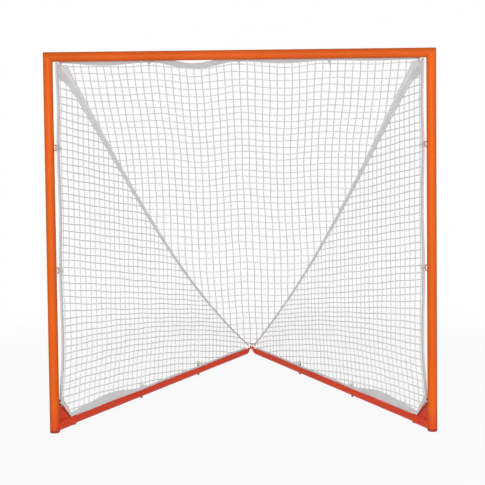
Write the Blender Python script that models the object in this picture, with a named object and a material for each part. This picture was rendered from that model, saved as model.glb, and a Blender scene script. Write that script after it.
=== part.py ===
"""Lacrosse goal: a mitred tube mouth, two ground bars meeting at a bolted apex, and a laced net.

Metres, +Z up. The mouth faces -Y, X runs across it, and the origin is the middle of the box's base.
Points are worked out on the goal line (y = 0 at the post axes) and the root empty moves them back.
"""

import math

import bmesh
import bpy
from mathutils import Vector
from mathutils.geometry import delaunay_2d_cdt

# Mouth: clear opening between the posts and from the tube feet to the crossbar.
MOUTH_WIDTH = 1.8288
MOUTH_HEIGHT = 1.8288
DEPTH = 2.032
# Steel tubes.
POST_OD = 0.0483
POST_WALL = 0.0025
BAR_OD = 0.0381
BAR_WALL = 0.0020
TUBE_SIDES = 28
ROD_SIDES = 8
BOLT_SIDES = 12
# Gap kept between touching pieces, and how far a cutting tool runs past what it cuts.
CLEARANCE = 0.0003
HOLE_OVERRUN = 0.003
# Foot plug under each post.
FOOT_BASE = 0.014
FOOT_STEM = 0.030
# Ground bars: height of the underside, and where each one starts behind its post axis.
BAR_CLEARANCE = 0.008
BAR_START = 0.030
# Welded socket and gusset behind each post.
SOCKET_OD = 0.0483
SOCKET_END = 0.166
GUSSET_THICKNESS = 0.005
GUSSET_HEIGHT = 0.120
GUSSET_LENGTH = 0.108
GUSSET_TIP = 0.007
GUSSET_SLOT_LENGTH = 0.026
GUSSET_SLOT_WIDTH = 0.008
GUSSET_SLOT_INSET = 0.010
GUSSET_SLOT_DROP = 0.036
# Flattened ends of the ground bars, lapped on the apex bolt.
TAB_WIDTH = 0.040
TAB_THICKNESS = 0.005
TAB_FLAT = 0.048
TAB_RAMP = 0.032
TAB_EDGE_RISE = 1.6
TAB_FACE_SPREAD = 1.15
# Internal elbow and its screws at each top corner.
KEY_WALL = 0.004
KEY_LEG = 0.090
KEY_SCREW_FROM_CORNER = 0.055
SCREW_RADIUS = 0.003
SCREW_HEAD_RADIUS = 0.0065
SCREW_HEAD_HEIGHT = 0.0035
# Stop bolt through each ground bar, just clear of the socket mouth.
STOP_BOLT_RADIUS = 0.004
STOP_HEAD_RADIUS = 0.0085
STOP_HEAD_HEIGHT = 0.004
STOP_NUT_HEIGHT = 0.0065
# Apex bolt, washer and nut.
APEX_BOLT_RADIUS = 0.005
APEX_HEAD_RADIUS = 0.0115
APEX_HEAD_HEIGHT = 0.0055
APEX_WASHER_RADIUS = 0.017
APEX_WASHER_THICKNESS = 0.0025
APEX_NUT_RADIUS = 0.0098
APEX_NUT_HEIGHT = 0.0095
APEX_THREAD_SHOWN = 0.006
# Lacing eyes: bent rod staples on the mouth, eye bolts on the ground bars.
EYE_ROD = 0.005
EYE_SPREAD = 0.026
CROSSBAR_EYES = 5
POST_EYE_HEIGHTS = (0.810, 1.420)
EYE_BOLT_STATIONS = (0.842, 1.511)
EYE_TURN_STEPS = 14
CROSSBAR_EYE_INSET = 0.030
EYE_RING_RADIUS = 0.009
EYE_NUT_RADIUS = 0.0065
# Net: strand thickness and width, openings in each direction of a panel and the smallest one cut,
# gap along the seams, stations down each seam and along the straight edges, webbing widths, and
# how far each edge hangs from a straight line.
NET_THICKNESS = 0.002
NET_STRAND = 0.014
NET_OPENINGS = 12
NET_LEAST_OPENING = 0.0015
FLAT_TOLERANCE = 1e-7
NET_GAP = 0.0006
NET_STATIONS = 18
NET_COLUMNS = 24
TOP_BAND = 0.014
POST_BAND = 0.012
BOTTOM_BAND = 0.025
SEAM_BAND_TOP = 0.025
SEAM_BAND_APEX = 0.007
SEAM_BAND_TAPER = 0.6
NET_TOP_BACK = 0.030
NET_TOP_DROP = 0.022
SEAM_START = 0.050
SEAM_INSET = 0.036
SEAM_END_GAP = 0.054
SEAM_END_HEIGHT = 0.016
SEAM_SAG = {"left": 0.135, "right": 0.100}
SEAM_SAG_SKEW = 1.15
EDGE_START = 0.040
EDGE_INSET = 0.020
EDGE_BULGE = 0.016
EDGE_FADE = 0.150
LACE_RISE = 0.35
CORNER_CUT_INSET = 0.008
BOTTOM_GAP = 0.002
BOTTOM_LIFTS = (0.026, 0.012, 0.004)
TOP_SCALLOPS = (0.020, 0.036, 0.020, 0.010)
SCALLOP_FADE = 4
BACK_BELLY = 0.035

# Sizes that follow from the ones above.
POST_RADIUS = POST_OD / 2
POST_INNER = POST_RADIUS - POST_WALL
BAR_RADIUS = BAR_OD / 2
POST_X = MOUTH_WIDTH / 2 + POST_RADIUS
CROSSBAR_Z = FOOT_BASE + MOUTH_HEIGHT + POST_RADIUS
BAR_AXIS_Z = BAR_CLEARANCE + BAR_RADIUS
BAR_TOP = BAR_AXIS_Z + BAR_RADIUS
BAR_LENGTH = math.hypot(POST_X, DEPTH)
GOAL_LINE_Y = -(DEPTH + TAB_WIDTH / 2 - POST_RADIUS) / 2
SOCKET_RADIUS = SOCKET_OD / 2
SOCKET_TOP = BAR_AXIS_Z + SOCKET_RADIUS
LACE_OFFSET = EYE_ROD / 2 + CLEARANCE + NET_THICKNESS / 2
NET_TOP = CROSSBAR_Z - NET_TOP_DROP
SEAM_LENGTH = BAR_LENGTH - SEAM_END_GAP - SEAM_START
SEAM_END_Z = BAR_TOP + SEAM_END_HEIGHT
CORNER_CUT_HEIGHT = GUSSET_HEIGHT - CORNER_CUT_INSET
CORNER_CUT_LENGTH = GUSSET_LENGTH - CORNER_CUT_INSET
SIDES = {"left": -1, "right": 1}


def clear_scene():
    for old in list(bpy.data.objects):
        bpy.data.objects.remove(old, do_unlink=True)


def material(name, colour, roughness, metallic):
    """One Principled material for a sub-part."""
    made = bpy.data.materials.new(name)
    made.use_nodes = True
    shader = made.node_tree.nodes["Principled BSDF"]
    shader.inputs["Base Color"].default_value = (*colour, 1)
    shader.inputs["Roughness"].default_value = roughness
    shader.inputs["Metallic"].default_value = metallic
    return made


def orange(name):
    return material(name, (0.80, 0.15, 0.025), 0.38, 0.0)


def red_orange(name):
    return material(name, (0.58, 0.055, 0.03), 0.40, 0.0)


def dark_steel(name):
    return material(name, (0.05, 0.05, 0.05), 0.45, 0.8)


def zinc(name):
    return material(name, (0.62, 0.50, 0.36), 0.35, 0.9)


def twine(name):
    return material(name, (0.85, 0.85, 0.85), 0.85, 0.0)


def webbing(name):
    return material(name, (0.58, 0.59, 0.59), 0.85, 0.0)


def add_object(name, bm, finish, root, smooth=True):
    """The bmesh as a named object under the root, with its own material."""
    bmesh.ops.recalc_face_normals(bm, faces=bm.faces)
    mesh = bpy.data.meshes.new(name)
    bm.to_mesh(mesh)
    bm.free()
    if smooth:
        mesh.shade_smooth()
        mesh.set_sharp_from_angle(angle=math.radians(35))
    part = bpy.data.objects.new(name, mesh)
    bpy.context.scene.collection.objects.link(part)
    part.data.materials.append(finish(name + "_finish"))
    part.parent = root
    return part


def add_cutter(name, bm, root):
    """A hidden tool shape for a Boolean."""
    bmesh.ops.recalc_face_normals(bm, faces=bm.faces)
    mesh = bpy.data.meshes.new(name)
    bm.to_mesh(mesh)
    bm.free()
    cutter = bpy.data.objects.new(name, mesh)
    bpy.context.scene.collection.objects.link(cutter)
    cutter.parent = root
    cutter.hide_render = True
    cutter.display_type = "WIRE"
    return cutter


def cut(part, cutter):
    tool = part.modifiers.new(cutter.name, "BOOLEAN")
    tool.operation = "DIFFERENCE"
    tool.object = cutter


def across(direction):
    """Two unit vectors square to a direction."""
    guide = Vector((0, 0, 1)) if abs(direction.z) < 0.9 else Vector((0, 1, 0))
    first = direction.cross(guide).normalized()
    return first, direction.cross(first).normalized()


def sweep_rings(bm, points, radius, sides, start_plane=None, end_plane=None):
    """Rings of a round section along a polyline in one plane, mitred where it turns."""
    points = [Vector(p) for p in points]
    runs = [(b - a).normalized() for a, b in zip(points, points[1:])]
    turn = next((a.cross(b) for a, b in zip(runs, runs[1:]) if a.cross(b).length > 1e-6), None)
    rings = []
    for i, point in enumerate(points):
        before = runs[max(i - 1, 0)]
        after = runs[min(i, len(runs) - 1)]
        side = turn.normalized() if turn else across(before)[0]
        normal = side.cross(before).normalized()
        plane = (before + after).normalized()
        if i == 0 and start_plane:
            plane = Vector(start_plane).normalized()
        if i == len(points) - 1 and end_plane:
            plane = Vector(end_plane).normalized()
        ring = []
        for k in range(sides):
            angle = math.tau * k / sides
            offset = radius * (math.cos(angle) * normal + math.sin(angle) * side)
            offset -= before * (offset.dot(plane) / before.dot(plane))
            ring.append(bm.verts.new(point + offset))
        rings.append(ring)
    return rings


def join_rings(bm, rings):
    for a, b in zip(rings, rings[1:]):
        for k in range(len(a)):
            n = (k + 1) % len(a)
            bm.faces.new((a[k], a[n], b[n], b[k]))


def tube(points, outer, inner=0.0, sides=TUBE_SIDES, start_plane=None, end_plane=None):
    """A rod, or with an inner radius a tube open at both ends, along a polyline."""
    bm = bmesh.new()
    skin = sweep_rings(bm, points, outer, sides, start_plane, end_plane)
    join_rings(bm, skin)
    if inner > 0:
        bore = sweep_rings(bm, points, inner, sides, start_plane, end_plane)
        join_rings(bm, bore)
        join_rings(bm, [skin[0], bore[0]])
        join_rings(bm, [skin[-1], bore[-1]])
    else:
        bm.faces.new(skin[0])
        bm.faces.new(skin[-1])
    return bm


def turned(profile, centre, direction, sides):
    """A solid turned about an axis: profile holds (radius, distance along the axis)."""
    centre = Vector(centre)
    direction = Vector(direction).normalized()
    first, second = across(direction)
    bm = bmesh.new()
    rings = []
    for radius, along in profile:
        rings.append(
            [
                bm.verts.new(
                    centre
                    + direction * along
                    + first * radius * math.cos(math.tau * k / sides)
                    + second * radius * math.sin(math.tau * k / sides)
                )
                for k in range(sides)
            ]
        )
    join_rings(bm, rings)
    bm.faces.new(rings[0])
    bm.faces.new(rings[-1])
    return bm


def nut(centre, radius, bore, height):
    """A hex nut standing on its centre point, axis up."""
    bm = bmesh.new()
    rings = []
    for size, z, step in ((radius, 0, 1), (radius, height, 1), (bore, height, 0), (bore, 0, 0)):
        ring = []
        for k in range(12):
            angle = math.tau * k / 12
            flat = math.cos(math.pi / 6) / math.cos((angle % (math.pi / 3)) - math.pi / 6)
            reach = size * flat if step else size
            corner = Vector((reach * math.cos(angle), reach * math.sin(angle), z))
            ring.append(bm.verts.new(Vector(centre) + corner))
        rings.append(ring)
    join_rings(bm, rings + rings[:1])
    return bm


def grid_solid(rows, thickness):
    """A thin closed sheet around a grid of points, thickened along its normals."""
    down, wide = len(rows), len(rows[0])
    front = []
    back = []
    bm = bmesh.new()
    # Both skins split along the same diagonals, so that the sheet is equally thick everywhere.
    for i in range(down):
        for j in range(wide):
            along = rows[i][min(j + 1, wide - 1)] - rows[i][max(j - 1, 0)]
            fall = rows[min(i + 1, down - 1)][j] - rows[max(i - 1, 0)][j]
            normal = along.cross(fall).normalized() * thickness / 2
            front.append(bm.verts.new(rows[i][j] + normal))
            back.append(bm.verts.new(rows[i][j] - normal))
    for i in range(down - 1):
        for j in range(wide - 1):
            a, b = i * wide + j, i * wide + j + 1
            c, d = b + wide, a + wide
            for corners in ((a, b, c), (a, c, d)):
                bm.faces.new([front[k] for k in corners])
                bm.faces.new([back[k] for k in reversed(corners)])
    rim = [j for j in range(wide)]
    rim += [i * wide + wide - 1 for i in range(1, down)]
    rim += [(down - 1) * wide + j for j in range(wide - 2, -1, -1)]
    rim += [i * wide for i in range(down - 2, 0, -1)]
    for a, b in zip(rim, rim[1:] + rim[:1]):
        bm.faces.new((front[b], front[a], back[a], back[b]))
    return bm


def trimmed(outline, rule):
    """What is left of a flat outline where a straight-line rule isn't negative."""
    kept = []
    for point, after in zip(outline, outline[1:] + outline[:1]):
        here, there = rule(point), rule(after)
        if here >= 0:
            kept.append(point)
        if (here < 0) != (there < 0):
            kept.append(point.lerp(after, here / (here - there)))
    return kept


def chain_height(chain, x):
    """Height of a chain of flat points, laid from left to right, at a width."""
    for a, b in zip(chain, chain[1:]):
        if x <= b.x:
            return mix(a.y, b.y, (x - a.x) / (b.x - a.x))
    return chain[-1].y


def flat_area(outline):
    pairs = zip(outline, outline[1:] + outline[:1])
    return abs(sum(a.cross(b) for a, b in pairs)) / 2


def net_openings(lows, highs):
    """A plain grid of openings that keeps a strand's width inside the lower and upper edges."""
    half = NET_STRAND / 2
    across = spread_evenly(lows[0].x + half, lows[-1].x - half, NET_OPENINGS)
    up = spread_evenly(min(p.y for p in lows) + half, max(p.y for p in highs) - half, NET_OPENINGS)
    openings = []
    for a, b in zip(across, across[1:]):
        a, b = a + half, b - half
        floor_a, floor_b = (chain_height(lows, x) + NET_STRAND for x in (a, b))
        roof_a, roof_b = (chain_height(highs, x) - NET_STRAND for x in (a, b))
        for c, d in zip(up, up[1:]):
            c, d = c + half, d - half
            opening = [Vector((a, c)), Vector((b, c)), Vector((b, d)), Vector((a, d))]
            opening = trimmed(opening, lambda p: p.y - mix(floor_a, floor_b, (p.x - a) / (b - a)))
            opening = trimmed(opening, lambda p: mix(roof_a, roof_b, (p.x - a) / (b - a)) - p.y)
            if len(opening) > 2 and flat_area(opening) > NET_LEAST_OPENING:
                openings.append(opening)
    return openings


def net_solid(place, lows, highs, front):
    """A net panel: a thin sheet with a grid of openings, laid out flat and bent by place.

    Its outline runs along the lower edge, back along the upper one, and down the front edge.
    Both skins split along the same diagonals.
    """
    loops = [lows + highs[::-1] + front] + net_openings(lows, highs)
    points, faces = [], []
    for loop in loops:
        faces.append(list(range(len(points), len(points) + len(loop))))
        points += loop
    flat, _, triangles, _, _, owners = delaunay_2d_cdt(points, [], faces, 1, FLAT_TOLERANCE)
    triangles = [t for t, owner in zip(triangles, owners) if list(owner) == [0]]
    bm = bmesh.new()
    skins = []
    for p in flat:
        ahead = place(p.x + NET_GAP, p.y) - place(p.x - NET_GAP, p.y)
        rise = place(p.x, p.y + NET_GAP) - place(p.x, p.y - NET_GAP)
        lift = ahead.cross(rise).normalized() * NET_THICKNESS / 2
        spot = place(p.x, p.y)
        skins.append((bm.verts.new(spot + lift), bm.verts.new(spot - lift)))
    sides = set()
    for a, b, c in triangles:
        bm.faces.new([skins[i][0] for i in (a, b, c)])
        bm.faces.new([skins[i][1] for i in (c, b, a)])
        sides.update(((a, b), (b, c), (c, a)))
    for a, b in sides:
        if (b, a) not in sides:
            bm.faces.new((skins[b][0], skins[a][0], skins[a][1], skins[b][1]))
    return bm


def mix(a, b, t):
    return a + (b - a) * t


def smooth_step(t):
    t = min(max(t, 0.0), 1.0)
    return t * t * (3 - 2 * t)


def bar_point(side, along, inward, z):
    """A point given by its distance along a ground bar, its offset into the goal, and its height."""
    x = -POST_X + (along * POST_X + inward * DEPTH) / BAR_LENGTH
    y = (along * DEPTH - inward * POST_X) / BAR_LENGTH
    return Vector((-x * SIDES[side], y, z))


def bumps(position, stops, heights):
    """Humps of the given heights between neighbouring stops."""
    for a, b, height in zip(stops, stops[1:], heights):
        if a <= position <= b:
            return height * math.sin(math.pi * (position - a) / (b - a)) ** 2
    return 0.0


def edge_inset(z):
    """How far the net's front edge stands into the goal at a height: least at the lacing eyes."""
    stops = (GUSSET_HEIGHT, *POST_EYE_HEIGHTS, NET_TOP)
    return EDGE_INSET + bumps(z, stops, (EDGE_BULGE,) * 3)


def side_offset(along, z):
    """Offset of a side net into the goal: the eye bolts' line at the bar, the edge line at the post."""
    seam = mix(SEAM_INSET, LACE_OFFSET, min(max((along - SEAM_START) / SEAM_LENGTH, 0), 1))
    front = (edge_inset(z) - SEAM_INSET) * math.exp(-max(along - EDGE_START, 0) / EDGE_FADE)
    rise = smooth_step((z - BAR_TOP) / LACE_RISE)
    return LACE_OFFSET + rise * (seam + front - LACE_OFFSET)


def side_point(side, along, z):
    return bar_point(side, along, side_offset(along, z), z)


def seam_height(side, u):
    return mix(NET_TOP, SEAM_END_Z, u) - SEAM_SAG[side] * math.sin(math.pi * u**SEAM_SAG_SKEW)


def seam_along(u):
    return SEAM_START + SEAM_LENGTH * u


def seam_point(side, u):
    return side_point(side, seam_along(u), seam_height(side, u))


def seam_half_width(u):
    return mix(SEAM_BAND_TOP, SEAM_BAND_APEX, u**SEAM_BAND_TAPER)


def seam_drop(side, u):
    """Height of the seam band's lower leg, measured down a side net's column."""
    step = 0.01
    u0, u1 = max(u - step, 0), min(u + step, 1)
    fall = seam_height(side, u0) - seam_height(side, u1)
    slope = math.atan2(fall, SEAM_LENGTH * (u1 - u0))
    return seam_half_width(u) / math.cos(slope)


def bottom_height(along):
    """Lower edge of a side net: cut off at the gusset, lifted between the lacing points."""
    corner = EDGE_START + CORNER_CUT_LENGTH
    step = (SOCKET_TOP - BAR_TOP) * (1 - smooth_step((along - SOCKET_END) / SOCKET_END))
    cut_off = CORNER_CUT_HEIGHT * max(corner - along, 0) / CORNER_CUT_LENGTH
    stops = (corner, *EYE_BOLT_STATIONS, seam_along(1))
    return BAR_TOP + BOTTOM_GAP + step + cut_off + bumps(along, stops, BOTTOM_LIFTS)


def eye_positions():
    reach = POST_X - POST_RADIUS - CROSSBAR_EYE_INSET
    return [mix(-reach, reach, i / (CROSSBAR_EYES - 1)) for i in range(CROSSBAR_EYES)]


def back_point(u, q):
    """A point of the back net: u down the seams, q from the left seam to the right one."""
    point = seam_point("left", u).lerp(seam_point("right", u), q)
    hang = bumps(point.x, eye_positions(), TOP_SCALLOPS) * (1 - u) ** SCALLOP_FADE
    point.z -= hang + BACK_BELLY * math.sin(math.pi * q) * math.sin(math.pi * u)
    return point


def back_spot(x, u):
    """The back net's point at a width, u down the seams."""
    left, right = seam_point("left", u).x, seam_point("right", u).x
    return back_point(u, (x - left) / (right - left))


def seam_share(u, extra=0.0):
    """The seam band's upper leg as a share of the back net's width."""
    width = (seam_point("right", u) - seam_point("left", u)).length
    return (seam_half_width(u) + extra) / width


def make_mouth(root):
    """Two posts and a crossbar, mitred at 45 degrees, with screw holes behind the corners."""
    for side, sign in SIDES.items():
        x = sign * POST_X
        foot = (x, 0, FOOT_BASE + CLEARANCE)
        head = (x, 0, CROSSBAR_Z - CLEARANCE)
        post = add_object(
            side + "_post",
            tube([foot, head], POST_RADIUS, POST_INNER, end_plane=(-sign, 0, 1)),
            orange,
            root,
        )
        hole = (x, 0, CROSSBAR_Z - KEY_SCREW_FROM_CORNER)
        cut(post, screw_hole(side + "_post_screw_hole", hole, root))
    ends = [(-POST_X + CLEARANCE, 0, CROSSBAR_Z), (POST_X - CLEARANCE, 0, CROSSBAR_Z)]
    crossbar = add_object(
        "crossbar",
        tube(ends, POST_RADIUS, POST_INNER, start_plane=(1, 0, 1), end_plane=(1, 0, -1)),
        orange,
        root,
    )
    for side, sign in SIDES.items():
        hole = (sign * (POST_X - KEY_SCREW_FROM_CORNER), 0, CROSSBAR_Z)
        cut(crossbar, screw_hole(side + "_crossbar_screw_hole", hole, root))


def screw_hole(name, centre, root):
    """A round hole through the rear wall of a mouth tube and its key."""
    start = Vector(centre) + Vector((0, POST_INNER - KEY_WALL - HOLE_OVERRUN, 0))
    end = Vector(centre) + Vector((0, POST_RADIUS + HOLE_OVERRUN, 0))
    return add_cutter(name, tube([start, end], SCREW_RADIUS + CLEARANCE, sides=BOLT_SIDES), root)


def make_corners(root):
    """An elbow inside each mitre, held by one screw through each tube's rear wall."""
    outer = POST_INNER - CLEARANCE
    for side, sign in SIDES.items():
        corner = Vector((sign * POST_X, 0, CROSSBAR_Z))
        down = corner - Vector((0, 0, KEY_LEG))
        inward = corner - Vector((sign * KEY_LEG, 0, 0))
        key = add_object(
            side + "_corner_key", tube([down, corner, inward], outer, outer - KEY_WALL), dark_steel, root
        )
        seats = {
            "post": corner - Vector((0, 0, KEY_SCREW_FROM_CORNER)),
            "crossbar": corner - Vector((sign * KEY_SCREW_FROM_CORNER, 0, 0)),
        }
        for tube_name, seat in seats.items():
            label = side + "_" + tube_name
            cut(key, screw_hole(label + "_key_hole", seat, root))
            tip = POST_INNER - KEY_WALL - 0.001
            under = POST_RADIUS + CLEARANCE
            profile = [
                (SCREW_RADIUS, tip),
                (SCREW_RADIUS, under),
                (SCREW_HEAD_RADIUS, under),
                (SCREW_HEAD_RADIUS, under + SCREW_HEAD_HEIGHT * 0.5),
                (SCREW_HEAD_RADIUS * 0.6, under + SCREW_HEAD_HEIGHT),
            ]
            bm = turned(profile, seat, (0, 1, 0), BOLT_SIDES)
            add_object(label + "_corner_screw", bm, dark_steel, root)


def make_feet(root):
    """A plug closing each post foot: the disc stands on the ground, the stem fills the tube."""
    stem = POST_INNER - CLEARANCE
    edge = 0.002
    profile = [
        (POST_RADIUS - edge, 0),
        (POST_RADIUS, edge),
        (POST_RADIUS, FOOT_BASE),
        (stem, FOOT_BASE),
        (stem, FOOT_BASE + FOOT_STEM - edge),
        (stem - edge, FOOT_BASE + FOOT_STEM),
    ]
    for side, sign in SIDES.items():
        bm = turned(profile, (sign * POST_X, 0, 0), (0, 0, 1), TUBE_SIDES)
        add_object(side + "_foot_plug", bm, red_orange, root)


def make_sockets(root):
    """A tube socket for each ground bar, coped round its post, with a gusset on top."""
    for side, sign in SIDES.items():
        ends = [bar_point(side, 0, 0, BAR_AXIS_Z), bar_point(side, SOCKET_END, 0, BAR_AXIS_Z)]
        socket = add_object(
            side + "_bar_socket", tube(ends, SOCKET_RADIUS, BAR_RADIUS + CLEARANCE), red_orange, root
        )
        low = Vector((sign * POST_X, 0, -HOLE_OVERRUN))
        high = Vector((sign * POST_X, 0, SOCKET_TOP + HOLE_OVERRUN))
        cope = add_cutter(side + "_cope", tube([low, high], POST_RADIUS + CLEARANCE), root)
        cut(socket, cope)
        make_gusset(side, root)


def make_gusset(side, root):
    """A triangular plate between post and socket, with a lacing slot beside its sloping edge."""
    near = POST_RADIUS + CLEARANCE
    low = SOCKET_TOP + CLEARANCE
    far = near + GUSSET_LENGTH
    high = low + GUSSET_HEIGHT
    outline = [(near, low), (far, low), (far, low + GUSSET_TIP), (near + GUSSET_TIP, high), (near, high)]
    plate = add_object(side + "_gusset", prism(side, outline, GUSSET_THICKNESS), red_orange, root, False)
    slope = Vector((near + GUSSET_TIP - far, high - low - GUSSET_TIP)).normalized()
    square = Vector((-slope.y, slope.x))
    top = Vector((near + GUSSET_TIP, high))
    centre = top - slope * GUSSET_SLOT_DROP + square * GUSSET_SLOT_INSET
    slot = []
    for end, first in ((1, 0), (-1, 180)):
        for k in range(9):
            angle = math.radians(first + 22.5 * k)
            round_end = square * -math.cos(angle) + slope * math.sin(angle)
            shift = slope * end * (GUSSET_SLOT_LENGTH - GUSSET_SLOT_WIDTH) / 2
            slot.append(tuple(centre + shift + round_end * GUSSET_SLOT_WIDTH / 2))
    cut(plate, add_cutter(side + "_slot", prism(side, slot, GUSSET_THICKNESS * 3), root))


def prism(side, outline, thickness):
    """An outline of (along, height) points in a ground bar's vertical plane, thickened evenly."""
    bm = bmesh.new()
    faces = []
    for inward in (-thickness / 2, thickness / 2):
        faces.append([bm.verts.new(bar_point(side, s, inward, z)) for s, z in outline])
    join_rings(bm, faces)
    for face in faces:
        bm.faces.new(face)
    return bm


def bar_section(side, along, level, half_width, half_height):
    """One ring of a ground bar: round along the tube, a rounded flat at the apex."""
    points = []
    for k in range(TUBE_SIDES):
        angle = math.tau * k / TUBE_SIDES
        inward = half_width * math.cos(angle)
        points.append(bar_point(side, along, inward, level + half_height * math.sin(angle)))
    return points


def tab_section(side, along, level, half_width, half_height):
    """One ring of the flattened end: a flat plate with rounded edges, same points as the tube's ring."""
    points = []
    flat = half_width - half_height
    for k in range(TUBE_SIDES):
        angle = math.tau * k / TUBE_SIDES
        wave = math.cos(angle)
        rise = max(-1.0, min(1.0, TAB_EDGE_RISE * math.sin(angle)))
        edge = math.sqrt(max(0.0, 1 - rise * rise))
        inward = flat * max(-1.0, min(1.0, TAB_FACE_SPREAD * wave))
        inward += half_height * edge * math.copysign(1, wave)
        points.append(bar_point(side, along, inward, level + half_height * rise))
    return points


def make_bars(root):
    """Ground bars: tubes flattened at the apex, the left tab lying on the right one."""
    for side in SIDES:
        tab_top = BAR_TOP if side == "left" else BAR_TOP - TAB_THICKNESS - CLEARANCE
        tab_level = tab_top - TAB_THICKNESS / 2
        flat_start = BAR_LENGTH - TAB_FLAT
        ramp_start = flat_start - TAB_RAMP
        tip = BAR_LENGTH + TAB_WIDTH / 2
        bm = bmesh.new()
        rings = [bar_section(side, BAR_START, BAR_AXIS_Z, BAR_RADIUS, BAR_RADIUS)]
        for t in (0, 0.25, 0.5, 0.75, 1):
            ease = smooth_step(t)
            along = ramp_start + TAB_RAMP * t
            level = mix(BAR_AXIS_Z, tab_level, ease)
            half_width = mix(BAR_RADIUS, TAB_WIDTH / 2, ease)
            half_height = mix(BAR_RADIUS, TAB_THICKNESS / 2, ease)
            if t < 1:
                rings.append(bar_section(side, along, level, half_width, half_height))
            else:
                rings.append(tab_section(side, along, level, half_width, half_height))
        for k in range(7):
            angle = math.radians(84 * k / 6)
            along = tip - TAB_WIDTH / 2 * (1 - math.sin(angle))
            half = max(TAB_WIDTH / 2 * math.cos(angle), TAB_THICKNESS / 2 + 0.0005)
            rings.append(tab_section(side, along, tab_level, half, TAB_THICKNESS / 2))
        rings = [[bm.verts.new(p) for p in ring] for ring in rings]
        join_rings(bm, rings)
        bm.faces.new(rings[0])
        bm.faces.new(rings[-1])
        bar = add_object(side + "_ground_bar", bm, red_orange, root)
        bore = [
            bar_point(side, 0, 0, BAR_AXIS_Z),
            bar_point(side, ramp_start - BAR_WALL, 0, BAR_AXIS_Z),
        ]
        cut(bar, add_cutter(side + "_bar_bore", tube(bore, BAR_RADIUS - BAR_WALL), root))
        holes = [(station, EYE_ROD / 2) for station in EYE_BOLT_STATIONS]
        holes += [(stop_bolt_station(), STOP_BOLT_RADIUS), (BAR_LENGTH, APEX_BOLT_RADIUS)]
        for number, (station, radius) in enumerate(holes):
            low = bar_point(side, station, 0, BAR_CLEARANCE - HOLE_OVERRUN)
            high = bar_point(side, station, 0, BAR_TOP + HOLE_OVERRUN)
            bm = tube([low, high], radius + CLEARANCE, sides=BOLT_SIDES)
            cut(bar, add_cutter(f"{side}_bar_hole_{number}", bm, root))


def stop_bolt_station():
    return SOCKET_END + CLEARANCE + STOP_HEAD_RADIUS


def make_stop_bolts(root):
    """A bolt through each ground bar that meets the socket mouth, with its nut underneath."""
    for side in SIDES:
        top = BAR_TOP + CLEARANCE
        nut_base = BAR_CLEARANCE - CLEARANCE - STOP_NUT_HEIGHT
        profile = [
            (STOP_BOLT_RADIUS, nut_base),
            (STOP_BOLT_RADIUS, top),
            (STOP_HEAD_RADIUS, top),
            (STOP_HEAD_RADIUS * 0.9, top + STOP_HEAD_HEIGHT * 0.6),
            (STOP_HEAD_RADIUS * 0.5, top + STOP_HEAD_HEIGHT),
        ]
        seat = bar_point(side, stop_bolt_station(), 0, 0)
        add_object(side + "_stop_bolt", turned(profile, seat, (0, 0, 1), BOLT_SIDES), dark_steel, root)
        bore = STOP_BOLT_RADIUS + CLEARANCE
        bm = nut(seat + Vector((0, 0, nut_base)), STOP_HEAD_RADIUS, bore, STOP_NUT_HEIGHT)
        add_object(side + "_stop_nut", bm, dark_steel, root, False)


def make_apex(root):
    """A bolt up through both tabs, with a washer and nut on top."""
    under = BAR_TOP - 2 * TAB_THICKNESS - 2 * CLEARANCE
    washer_base = BAR_TOP + CLEARANCE
    nut_base = washer_base + APEX_WASHER_THICKNESS + CLEARANCE
    thread_top = nut_base + APEX_NUT_HEIGHT + APEX_THREAD_SHOWN
    seat = (0, DEPTH, 0)
    profile = [
        (APEX_HEAD_RADIUS * 0.5, under - APEX_HEAD_HEIGHT),
        (APEX_HEAD_RADIUS * 0.85, under - APEX_HEAD_HEIGHT * 0.7),
        (APEX_HEAD_RADIUS, under),
        (APEX_BOLT_RADIUS, under),
        (APEX_BOLT_RADIUS, thread_top - 0.001),
        (APEX_BOLT_RADIUS - 0.001, thread_top),
    ]
    add_object("apex_bolt", turned(profile, seat, (0, 0, 1), BOLT_SIDES), zinc, root)
    ends = [(0, DEPTH, washer_base), (0, DEPTH, washer_base + APEX_WASHER_THICKNESS)]
    bm = tube(ends, APEX_WASHER_RADIUS, APEX_BOLT_RADIUS + CLEARANCE)
    add_object("apex_washer", bm, zinc, root)
    bm = nut((0, DEPTH, nut_base), APEX_NUT_RADIUS, APEX_BOLT_RADIUS + CLEARANCE, APEX_NUT_HEIGHT)
    add_object("apex_nut", bm, zinc, root, False)


def staple(axis, outward, spread, start, reach):
    """A bent rod: two legs out from a tube's surface, joined by a straight bar with round corners."""
    bend = EYE_ROD
    path = [axis + spread + outward * start]
    for first, leg in ((0, 1), (90, -1)):
        centre = axis + spread * leg * (1 - bend / spread.length) + outward * (reach - EYE_ROD / 2 - bend)
        for k in range(4):
            angle = math.radians(first + 30 * k)
            path.append(centre + bend * (math.cos(angle) * spread.normalized() + math.sin(angle) * outward))
    path.append(axis - spread + outward * start)
    return tube(path, EYE_ROD / 2, sides=ROD_SIDES)


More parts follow.
